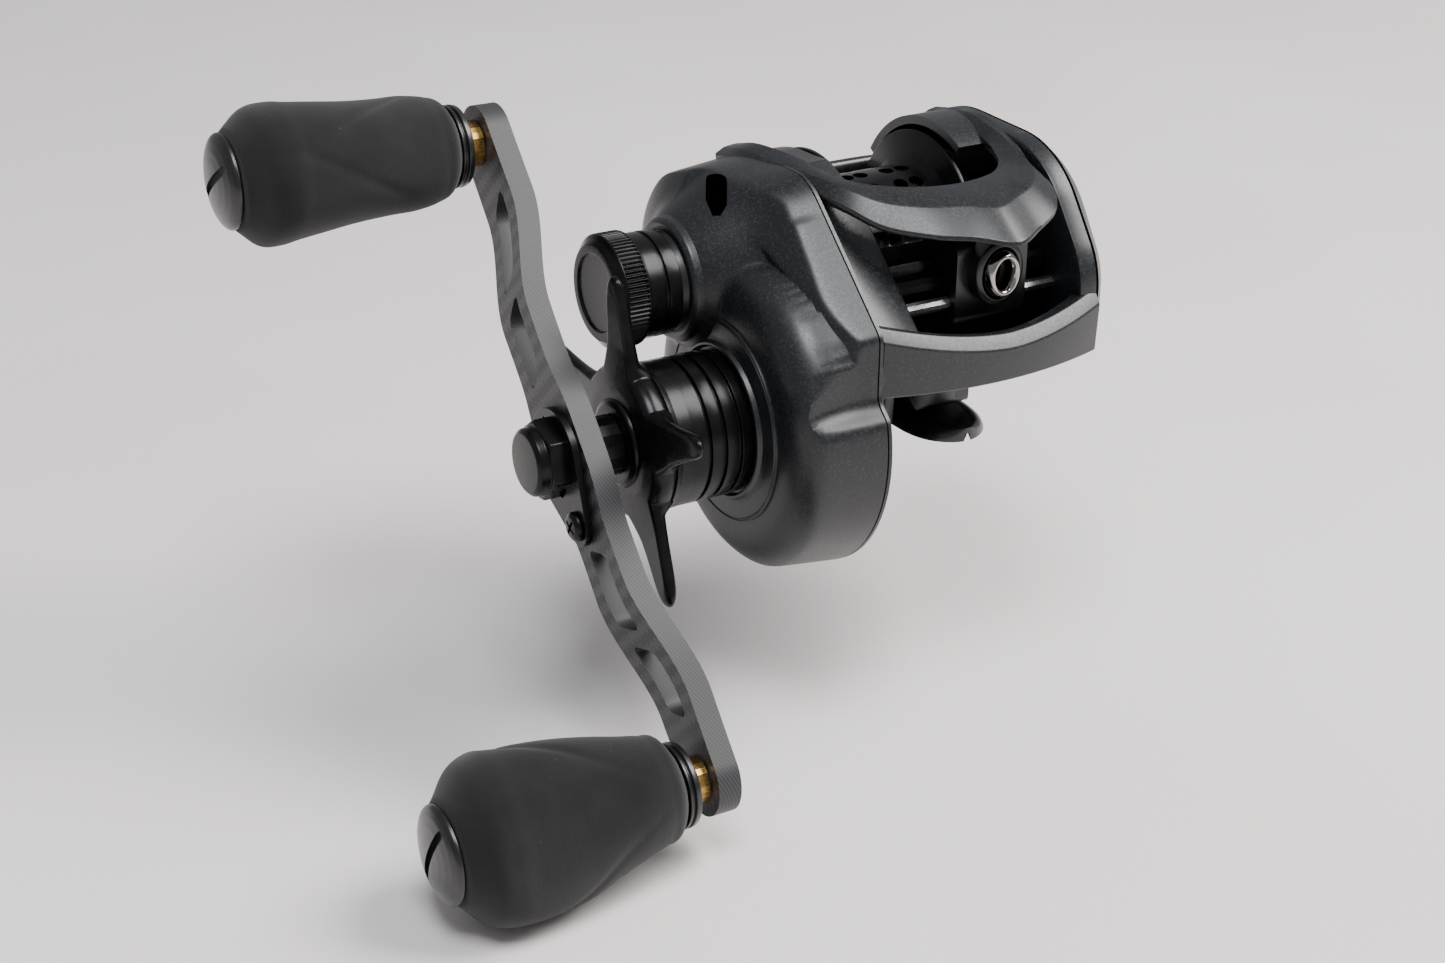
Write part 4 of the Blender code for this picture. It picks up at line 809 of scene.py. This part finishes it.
dish = turned(
    "drag_dish",
    [
        (31.0, 6.0), (31.0, 14.9), (32.35, 14.9), (32.5, 14.75), (32.25, 14.6), (32.25, 14.45), (32.5, 14.3),
        (32.55, 12.2),
        (32.65, 11.6), (33.3, 11.35), (33.35, 10.95), (32.7, 10.75), (32.5, 10.6), (32.5, 6.0),
    ],
    DRIVE, 200, 0.07,
)
put(dish, PAINT, "frame", "body_paint", "handle_side_plate")
boss = turned(
    "tension_boss",
    [
        (30.0, 5.2), (30.0, 9.2), (33.4, 9.2), (34.7, 8.95), (35.3, 8.3), (35.2, 7.4), (34.9, 7.1),
        (36.0, 6.6), (40.5, 6.15), (40.5, 5.2),
    ],
    SPOOL, 160, 0.25,
)
put(boss, PAINT, "frame", "body_paint", "handle_side_plate")

# ---- Frame -------------------------------------------------------------------------------------
# One die-cast frame: the gear tray on the handle side, the ring on the palm side, the front bar that
# joins them below the line window, and the cradle under the spool.


def stacked(name, rows, sharp=40):
    """Outlines at stations along X, each a list of points, closed at both ends on their middles."""
    grid = np.array([np.column_stack([np.full(len(ring), x), ring]) for x, ring in rows])
    return capped(name, grid, sharp)


def tray():
    """The gear tray: the cover's outline from the joint to the spool wall; its upper front is drawn
    in, so that it stands back from the cover beside the line window."""
    outer = notched(hull(HANDLE_OUTLINE, 420))
    way = (outer - SPOOL) / np.linalg.norm(outer - SPOOL, axis=1, keepdims=True)
    front = np.clip((outer[:, :1] - 12) / 14, 0, 1) * np.clip((13.5 - outer[:, 1:]) / 4, 0, 1)
    slope = np.clip((outer @ SLOPE_WAY - 33.5) / 3.0, 0, 1)[:, None] * np.clip((outer[:, 1:] - 12) / 4, 0, 1)
    low = outer - 1.6 * slope * SLOPE_WAY - 2.2 * front * way
    deep = outer - 1.9 * slope * SLOPE_WAY - 11.5 * front * way
    hollow = DRIVE + (deep - DRIVE) * 0.9
    edge = SPOOL + (outer - SPOOL) * 0.99
    rows = [
        (14.0, hollow), (18.0, hollow), (19.5, edge), (19.4, outer), (18.9, outer), (18.4, low), (12.3, deep),
        (11.9, deep * 0.985 + 0.015 * SPOOL),
    ]
    return stacked("frame_gear_tray", rows, 40)


put(tray(), PAINT, "frame", "body_paint", "frame")
BROW = np.array([14.0, 22.3])
CHEEK = np.array([22.0, 19.8])
PALM_NOSE = np.array([30.5, 15.0])
PALM_OUTLINE = [(SPOOL, 17.6), (BROW, 16.1), (CHEEK, 11.3), (PALM_NOSE, 2.9), (LOBE, 8.0)]


def palm_ring():
    """The palm-side ring: a band between the side outline and the spool opening, rounded inside."""
    outer = hull(PALM_OUTLINE, 420)
    way = (outer - SPOOL) / np.linalg.norm(outer - SPOOL, axis=1, keepdims=True)
    hole = SPOOL + 16.1 * way
    depth = np.linalg.norm(outer - hole, axis=1, keepdims=True)
    lip = outer - np.minimum(depth * 0.5, 0.9) * way
    rows = [
        (-18.05, hole), (-18.05, outer - 0.15 * way), (-17.9, outer), (-15.9, outer),
        (-15.35, outer - 0.25 * way), (-15.1, lip), (-15.25, hole + 0.25 * way), (-15.7, hole),
    ]
    grid = np.array([np.column_stack([np.full(len(ring), x), ring]) for x, ring in rows])
    return skin("frame_palm_ring", grid, (True, True), 40)


put(palm_ring(), PAINT, "frame", "body_paint", "frame")


def front_bar():
    """The bar below the window: a six-sided section carried along X. Its front bulges by a parabola,
    its top edge dips towards the middle, and a chamfer of about 45 degrees runs along it."""
    x = np.linspace(-17.9, 18.8, 180)
    front = 34.3 + 3.2 * np.clip(1 - ((x - 0.8) / 18.9) ** 2, 0, 1)
    top = 16.3 + 3.1 * (np.abs(x + 1.5) / 19) ** 1.6
    low = 11.3 + 0 * x
    thick = 3.4 + 1.2 * (np.abs(x - 0.8) / 19) ** 3
    corners = np.stack([
        np.stack([front - thick, low], -1), np.stack([front - 1.6, low - 0.4], -1),
        np.stack([front - 0.3, low], -1),
        np.stack([front, top - 0.2], -1), np.stack([front - 1.6, top + 1.6], -1),
        np.stack([front - thick, top + 1.3], -1),
    ], 1)
    rings = np.array([rounded(section, 0.3, 5) for section in corners])
    grid = np.concatenate([np.repeat(x[:, None, None], rings.shape[1], 1), rings], -1)
    return capped("frame_front_bar", grid, 50)


put(front_bar(), PAINT, "frame", "body_paint", "frame")


def cradle():
    """A curved sheet under the spool, about its axis, that runs on as a floor to the front bar."""
    angle = np.radians(np.linspace(214, 302, 60))
    inner = SPOOL + 16.1 * way_at(angle)
    floor = np.linspace(inner[-1], (32.8, 12.6), 20)[1:]
    top = np.concatenate([inner, floor])
    tangent = np.gradient(top, axis=0)
    normal = np.stack([tangent[:, 1], -tangent[:, 0]], -1) / np.linalg.norm(tangent, axis=1, keepdims=True)
    ring = np.concatenate([top, (top + 1.4 * normal)[::-1]])
    return stacked("frame_cradle", [(x, ring) for x in np.linspace(-16.5, 12.5, 12)], 40)


put(cradle(), PAINT, "frame", "body_paint", "frame")
angle = np.radians(np.linspace(62, 150, 60))
bow = way_at(angle)
collar = np.concatenate([SPOOL + 17.45 * bow, (SPOOL + 16.15 * bow)[::-1]])
rows = [(-15.6, collar), (-9.3, collar), (-9.0, collar.mean(0) + 0.998 * (collar - collar.mean(0)))]
put(stacked("frame_spool_collar", rows), PAINT, "frame", "body_paint", "frame")
for name, low, high in (
    ("frame_foot_post", (-4.5, 12.5, 1.6), (4.5, 22.5, 8.6)),
    ("frame_foot_heel", (-4.5, -8.5, 1.6), (4.5, -3.0, 5.4)),
):
    put(block(name, low, high, 0.0, (0, 0), 0.9), PAINT, "frame", "body_paint", "frame")

# ---- Top hood ----------------------------------------------------------------------------------
# A separate casting that bridges the line window like a horseshoe: a bright thin inner edge round the
# spool opening, a crease along each arm, and a blunt V visor that hangs over the line guide.

HOOD_EDGES = np.array([
    # inner edge x, y, z; outer edge x, y, z; how far the skin between them bulges
    (17.6, -8.0, 35.6, 20.6, -9.0, 34.2, 0.3), (18.2, -1.5, 37.5, 21.2, -2.5, 35.4, 0.4),
    (17.2, 4.0, 37.7, 21.0, 5.2, 35.5, 0.5),
    (16.3, 8.2, 37.5, 19.9, 11.0, 35.6, 0.6), (15.6, 13.2, 37.1, 18.6, 16.6, 35.3, 0.8),
    (13.9, 17.5, 36.7, 16.8, 21.0, 34.4, 0.9),
    (10.8, 20.2, 36.4, 13.6, 25.8, 32.6, 1.0), (6.2, 22.3, 36.1, 8.6, 30.5, 32.0, 1.2),
    (1.6, 23.2, 36.0, 3.8, 33.4, 31.8, 1.4),
    (-1.5, 23.2, 36.0, -1.0, 36.8, 31.4, 1.5), (-4.6, 22.6, 36.0, -6.2, 34.5, 32.1, 1.5),
    (-7.6, 21.2, 36.0, -10.6, 32.1, 33.4, 1.4),
    (-10.2, 18.6, 36.2, -13.4, 27.4, 34.6, 1.2), (-12.0, 14.8, 36.6, -14.0, 21.1, 36.1, 0.9),
    (-13.3, 10.4, 36.9, -14.9, 16.4, 37.5, 0.6),
    (-13.7, 5.0, 37.2, -15.9, 9.8, 38.5, 0.4), (-13.8, -1.0, 37.2, -16.6, 3.0, 38.7, 0.3),
    (-14.0, -8.0, 34.6, -16.9, -7.0, 36.6, 0.3),
])

HOOD_CREASE = 0.62
HOOD_EDGE_T = 0.55
HOOD_MORE_T = 1.1


def hood():
    """Two edge curves through fixed stations, joined across by a skin that bulges as a sine, with a
    crease at 0.62 of the way; the underside is the same skin lowered by 0.55 mm at its edges and by
    1.65 mm between them."""
    knots = np.arange(len(HOOD_EDGES))
    t = np.linspace(0, knots[-1], 260)
    line = np.stack([smooth_between(t, knots, HOOD_EDGES[:, i]) for i in range(7)], -1)
    inner, outer, bulge = line[:, None, :3], line[:, None, 3:6], line[:, None, 6:7]
    share = np.concatenate(
        [np.linspace(0, HOOD_CREASE, 26), np.linspace(HOOD_CREASE, 1, 20)[1:]]
    )[None, :, None]
    flat = inner + (outer - inner) * share
    lift = bulge * (
        0.4 * np.sin(np.pi * share) + 0.8 * np.minimum(share / HOOD_CREASE, (1 - share) / (1 - HOOD_CREASE))
    )
    flat[..., 2:] += lift
    low = flat.copy()
    rise = np.sin(np.clip(share[..., 0] * 8, 0, 1) * np.pi / 2)
    fall = np.sin(np.clip((1 - share[..., 0]) * 8, 0, 1) * np.pi / 2)
    low[..., 2] -= HOOD_MORE_T * rise * fall + HOOD_EDGE_T
    ring = np.concatenate([flat, low[:, ::-1]], 1)
    return capped("hood_bridge", ring, 55)


put(hood(), PAINT, "frame", "body_paint", "top_hood")

# ---- Palm side plate ---------------------------------------------------------------------------
# The smooth cast shell that sits in the palm: its top and front fall away steeply to a small face,
# with the brake's click dial let into it.

DIAL_AXIS = np.array([-2.5, 16.0])


def palm_shell():
    """Outlines at stations along X, through six set stations, each blended into the next."""
    stations = [
        (-18.35, PALM_OUTLINE),
        (
            -22.0,
            [
                ((1.3, 20.0), 16.0), ((12.5, 21.0), 14.2), ((19.3, 18.8), 9.9), ((26.5, 14.5), 2.8),
                ((9.5, 7.6), 7.5),
            ],
        ),
        (-25.0, [((0.0, 18.8), 14.6), ((12.0, 18.4), 10.6), ((20.8, 14.2), 2.8), ((8.8, 8.2), 6.9)]),
        (-28.0, [((-1.5, 17.2), 12.5), ((5.5, 16.6), 10.0), ((14.0, 12.8), 3.0), ((7.5, 9.0), 6.0)]),
        (-30.5, [(DIAL_AXIS, 9.6), ((7.0, 12.0), 4.6)]),
        (-31.5, [(DIAL_AXIS, 7.4), ((3.5, 13.0), 4.0)]),
    ]
    outlines = np.array([hull(circles, 360, 8) for _, circles in stations])
    xs = np.array([x for x, _ in stations])
    x = np.linspace(xs[0], xs[-1], 60)
    order = np.arange(len(xs))
    t = np.interp(-x, -xs, order)
    flat = outlines.reshape(len(xs), -1)
    grid = np.stack(
        [smooth_between(t, order, flat[:, i]) for i in range(flat.shape[1])], -1
    ).reshape(60, 360, 2)
    return stacked("palm_side_shell", list(zip(x, grid)), 50)


shell = palm_shell()
angle = full_turn(96)
cut_away(shell, prism("dial_pocket", DIAL_AXIS + 6.15 * way_at(angle), -34.0, -30.0))
put(shell, PAINT, "frame", "body_paint", "palm_side_plate")

# ---- Spool -------------------------------------------------------------------------------------
# Machined and anodised aluminium, drilled with rings of ports to save weight.

palm = -8.6
spool = turned(
    "spool_ported",
    [
        (palm, 15.5), (palm + 0.7, 15.5), (palm + 1.7, 10.6), (9.5, 10.6), (10.4, 15.5), (11.2, 15.5),
        (11.2, 15.0), (8.8, 9.4),
        (1.2, 9.4), (1.2, 3.4), (4, 3.2), (4, 1.65), (-4, 1.65), (-4, 3.2), (-1.2, 3.4), (-1.2, 9.4),
        (palm + 2.6, 9.4),
        (palm + 0.5, 14.2), (palm, 15.0),
    ],
    SPOOL, 160, 0.25,
)


def port_cutters():
    """Round ports 2.3 mm across, in rings of sixteen, drilled towards the axis."""
    round_way = full_turn(14)
    ring = 1.15 * way_at(round_way)
    for x in (-4.6, -1.9, 2.6, 5.0, 7.4):
        for turn in full_turn(16):
            rows = []
            for depth, size in ((8.4, 0.0), (8.4, 1.0), (12.0, 1.0), (12.0, 0.0)):
                side = ring[:, 1] * size
                y = SPOOL[0] + depth * np.cos(turn) - side * np.sin(turn)
                z = SPOOL[1] + depth * np.sin(turn) + side * np.cos(turn)
                rows.append(np.column_stack([x + ring[:, 0] * size, y, z]))
            yield skin("port", np.array(rows), (False, True))


cut_away(spool, *port_cutters())
put(spool, ANODISED, "spool", "black_anodised", "spool")

# ---- Foot and thumb bar ------------------------------------------------------------------------
# The foot is a thin pressed saddle whose tips go under the rod's clamps. The thumb bar, moulded with
# a curled top, is pressed down to free the spool.


def foot_plate():
    """Cross sections along Y: a flat land underneath with both edges curving down, thinner and
    narrower towards the tips, and a shallow dip before each tip."""
    share = np.sin(np.linspace(-np.pi / 2, np.pi / 2, 120))
    half = 6.5 * (1 - 0.35 * np.abs(share) ** 8) * np.sqrt(np.clip(1.02 - np.abs(share) ** 14, 0.01, 1))
    thick = 1.5 * (1 - 0.45 * share**2)
    across = np.linspace(-1, 1, 25)[None, :]
    drop = -1.2 * (np.clip(np.abs(across) - 0.46, 0, None) / 0.54) ** 1.6
    rim = np.sqrt(np.clip(1 - np.abs(across) ** 10, 0, 1))
    x = half[:, None] * across
    y = np.repeat((29.0 * share)[:, None], 25, 1)
    low = np.stack([x, y, drop + 0 * x], -1)
    high = np.stack([x, y, drop + thick[:, None] * (0.25 + 0.75 * rim)], -1)
    ring = np.concatenate([low, high[:, ::-1]], 1)
    return capped("reel_foot_saddle", ring, 45)


put(foot_plate(), PLASTIC, "frame", "foot_paint", "reel_foot")


def thumb_rest():
    """A bar along X: a flat inner face, a hollowed thumb face and a rolled top, waisted at the ends."""
    x = np.linspace(-14.8, 11.2, 60)
    ease = 1 - 0.35 * (np.abs((x + 1.8) / 13) ** 6)
    profile = np.array(
        [
            (0, 15.6), (0, 26.2), (-0.8, 27.5), (-2.4, 27.2), (-2.9, 25.6), (-2.7, 22.5), (-3.6, 19.5),
            (-3.9, 17.2), (-3.1, 15.6),
        ]
    )
    line = rounded(profile, 0.8, 5)
    y = -14.15 + line[None, :, 0] * ease[:, None]
    z = 15.6 + (line[None, :, 1] - 15.6) * (0.9 + 0.1 * ease[:, None])
    grid = np.stack([np.repeat(x[:, None], line.shape[0], 1), y, z], -1)
    return capped("thumb_rest", grid, 50)


put(thumb_rest(), PLASTIC, "thumb_bar", "black_plastic", "thumb_bar")

# ---- Line guide --------------------------------------------------------------------------------
# A black moulded carriage that the worm carries to and fro, with a polished dark ring for the line.


def dark_chrome():
    """Polished hard chrome, dark: a mirror with the faintest haze."""
    made, tree, shader = new_material("chrome_dark_polished", Metallic=1.0, Roughness=0.1)
    place = own_place(tree)
    haze = cloudy(tree, place, 0.8, 3.0)
    tint = ramp(tree, haze, 0.3, 0.7, linear("#8b8784"), linear("#a9a5a1"))
    wire(tree, shader, tint, between(tree, haze, 0.07, 0.16))
    return made


EYE_X = -3.1
EYE_Z = 24.4


def line_eye():
    """A ring along Y with an oval hole: a rounded wall section carried round the oval."""
    angle = full_turn(96)[None, :]
    turn = full_turn(32)[:, None]
    half_x = 2.1 + 0.85 * np.cos(turn)
    half_z = 2.75 + 0.85 * np.cos(turn)
    y = 29.6 + 2.1 * np.sin(turn) + 0 * angle
    grid = np.stack([EYE_X + half_x * np.cos(angle), y, EYE_Z + half_z * np.sin(angle)], -1)
    return skin("line_eye_ring", grid, (True, True))


put(line_eye(), dark_chrome(), "line_guide", "dark_chrome", "line_guide_ring")
side = np.array(
    [
        (18.2, 18.8), (21.0, 16.0), (26.6, 16.0), (27.9, 17.2), (27.9, 27.8), (26.2, 29.2), (21.5, 28.4),
        (18.2, 26.0),
    ]
)
carriage = prism("guide_carriage", rounded(side, 1.1, 5), -9.3, 2.7)
cut_away(
    carriage, hole_cutter(np.array([22.0, 21.9]), 2.95, -12, 6),
    hole_cutter(np.array([26.0, 19.6]), 1.15, -12, 6),
)
put(carriage, PLASTIC, "line_guide", "black_plastic", "line_guide_carriage")


def eye_boss():
    """The moulded boss round the ring: a rounded box section carried round the same oval, along Y."""
    angle = full_turn(96)[None, :]
    section = rounded(np.array([(-0.5, 25.0), (0.65, 25.0), (0.55, 30.1), (-0.35, 30.5)]), 0.3, 5)
    out, y = section[:, :1], section[:, 1:]
    grid = np.stack(
        [EYE_X + (3.5 + out) * np.cos(angle), y + 0 * angle, EYE_Z + (4.2 + out) * np.sin(angle)], -1
    )
    return skin("guide_eye_boss", grid, (True, True), 50)


put(eye_boss(), PLASTIC, "line_guide", "black_plastic", "line_guide_carriage")

# ---- Pieces that keep their CAD shape ----------------------------------------------------------
# Shafts, bearings, gears, bushes and screws, mostly inside, in the metals that they are made of.


def bare_metal(name, low, high, rough_low, rough_high, grain):
    """A bare metal, turned or ground: fine marks and a slight change of tone."""
    made, tree, shader = new_material(name, Metallic=1.0)
    place = own_place(tree)
    marks = cloudy(tree, place, grain, 4.0)
    tint = ramp(tree, marks, 0.3, 0.7, linear(low), linear(high))
    wire(tree, shader, tint, between(tree, marks, rough_low, rough_high))
    return made


STEEL = bare_metal("steel_ground", "#8f9092", "#b4b5b6", 0.22, 0.38, 0.3)
BRASS = bare_metal("brass_turned", "#9a7b42", "#c09a58", 0.22, 0.36, 0.3)
KEPT = {
    "steel": STEEL, "brass": BRASS, "black_anodised": ANODISED, "black_plastic": PLASTIC, "body_paint": PAINT,
    "foot_paint": PLASTIC, "drag_carbon": FOAM, "carbon_fibre": ANODISED, "eva_foam": FOAM,
    "dark_chrome": STEEL,
}
for entry in frame["record"]["subparts"]:
    kept = frame["nodes"][entry["node"]]
    kept.data.materials.clear()
    kept.data.materials.append(KEPT[entry["material_slot"]])

# ---- Floor, light and camera -------------------------------------------------------------------
# A pale, faintly grained sheet under the reel and two large soft lights.


def floor_material():
    """Matt vinyl sheet, embossed: warm pale grey with a soft leather-like grain of about 1.6 mm."""
    made, tree, shader = new_material("vinyl_matt_pale", Roughness=0.7)
    place = own_place(tree)
    grain = cloudy(tree, place, 1.6, 3.0)
    tone = cloudy(tree, place, 90, 2.0)
    tint = ramp(tree, tone, 0.3, 0.7, linear("#d9d4d2"), linear("#dfdbd9"))
    wire(tree, shader, tint, None, (grain, 0.18, 0.3))
    return made


FLOOR_Z = -43.0
size = 2500.0
corners = np.array(
    [[(-size, -size, FLOOR_Z), (size, -size, FLOOR_Z)], [(-size, size, FLOOR_Z), (size, size, FLOOR_Z)]]
)
floor = skin("floor_sheet", corners, (False, False))
floor.data.materials.append(floor_material())
if floor.data.polygons[0].normal.z < 0:
    floor.data.flip_normals()


def soft_light(name, place, aim, width, height, power, colour):
    """A large area light at place, in metres, facing aim."""
    lamp = bpy.data.lights.new(name, "AREA")
    lamp.shape = "RECTANGLE"
    lamp.size, lamp.size_y = width, height
    lamp.energy = power
    lamp.color = colour
    made = bpy.data.objects.new(name, lamp)
    made.location = place
    made.rotation_euler = (Vector(aim) - Vector(place)).to_track_quat("-Z", "Y").to_euler()
    bpy.context.scene.collection.objects.link(made)


soft_light("window_light", (-0.5, 0.3, 0.7), (0.02, 0.01, 0), 0.5, 0.5, 15.0, (1.0, 0.985, 0.97))
soft_light("ceiling_light", (0.22, 0.34, 0.8), (0.02, 0.01, 0), 0.32, 0.32, 7.0, (0.97, 0.985, 1.0))
world = bpy.data.worlds.new("room")
world.use_nodes = True
world.node_tree.nodes["Background"].inputs["Color"].default_value = linear("#e9e9ee")
world.node_tree.nodes["Background"].inputs["Strength"].default_value = 0.5
bpy.context.scene.world = world

lens = bpy.data.cameras.new("camera")
lens.lens = 60.04
lens.sensor_width = 36.0
lens.clip_start = 0.01
camera = bpy.data.objects.new("camera", lens)
right = Vector((-0.8685, 0.49555, 0.01156))
up = Vector((-0.20514, -0.38057, 0.90171))
back = Vector((0.45125, 0.78076, 0.43219))
camera.matrix_world = Matrix.Translation(
    (0.18871, 0.28517, 0.14332)
) @ Matrix((right, up, back)).transposed().to_4x4()
bpy.context.scene.collection.objects.link(camera)
bpy.context.scene.camera = camera
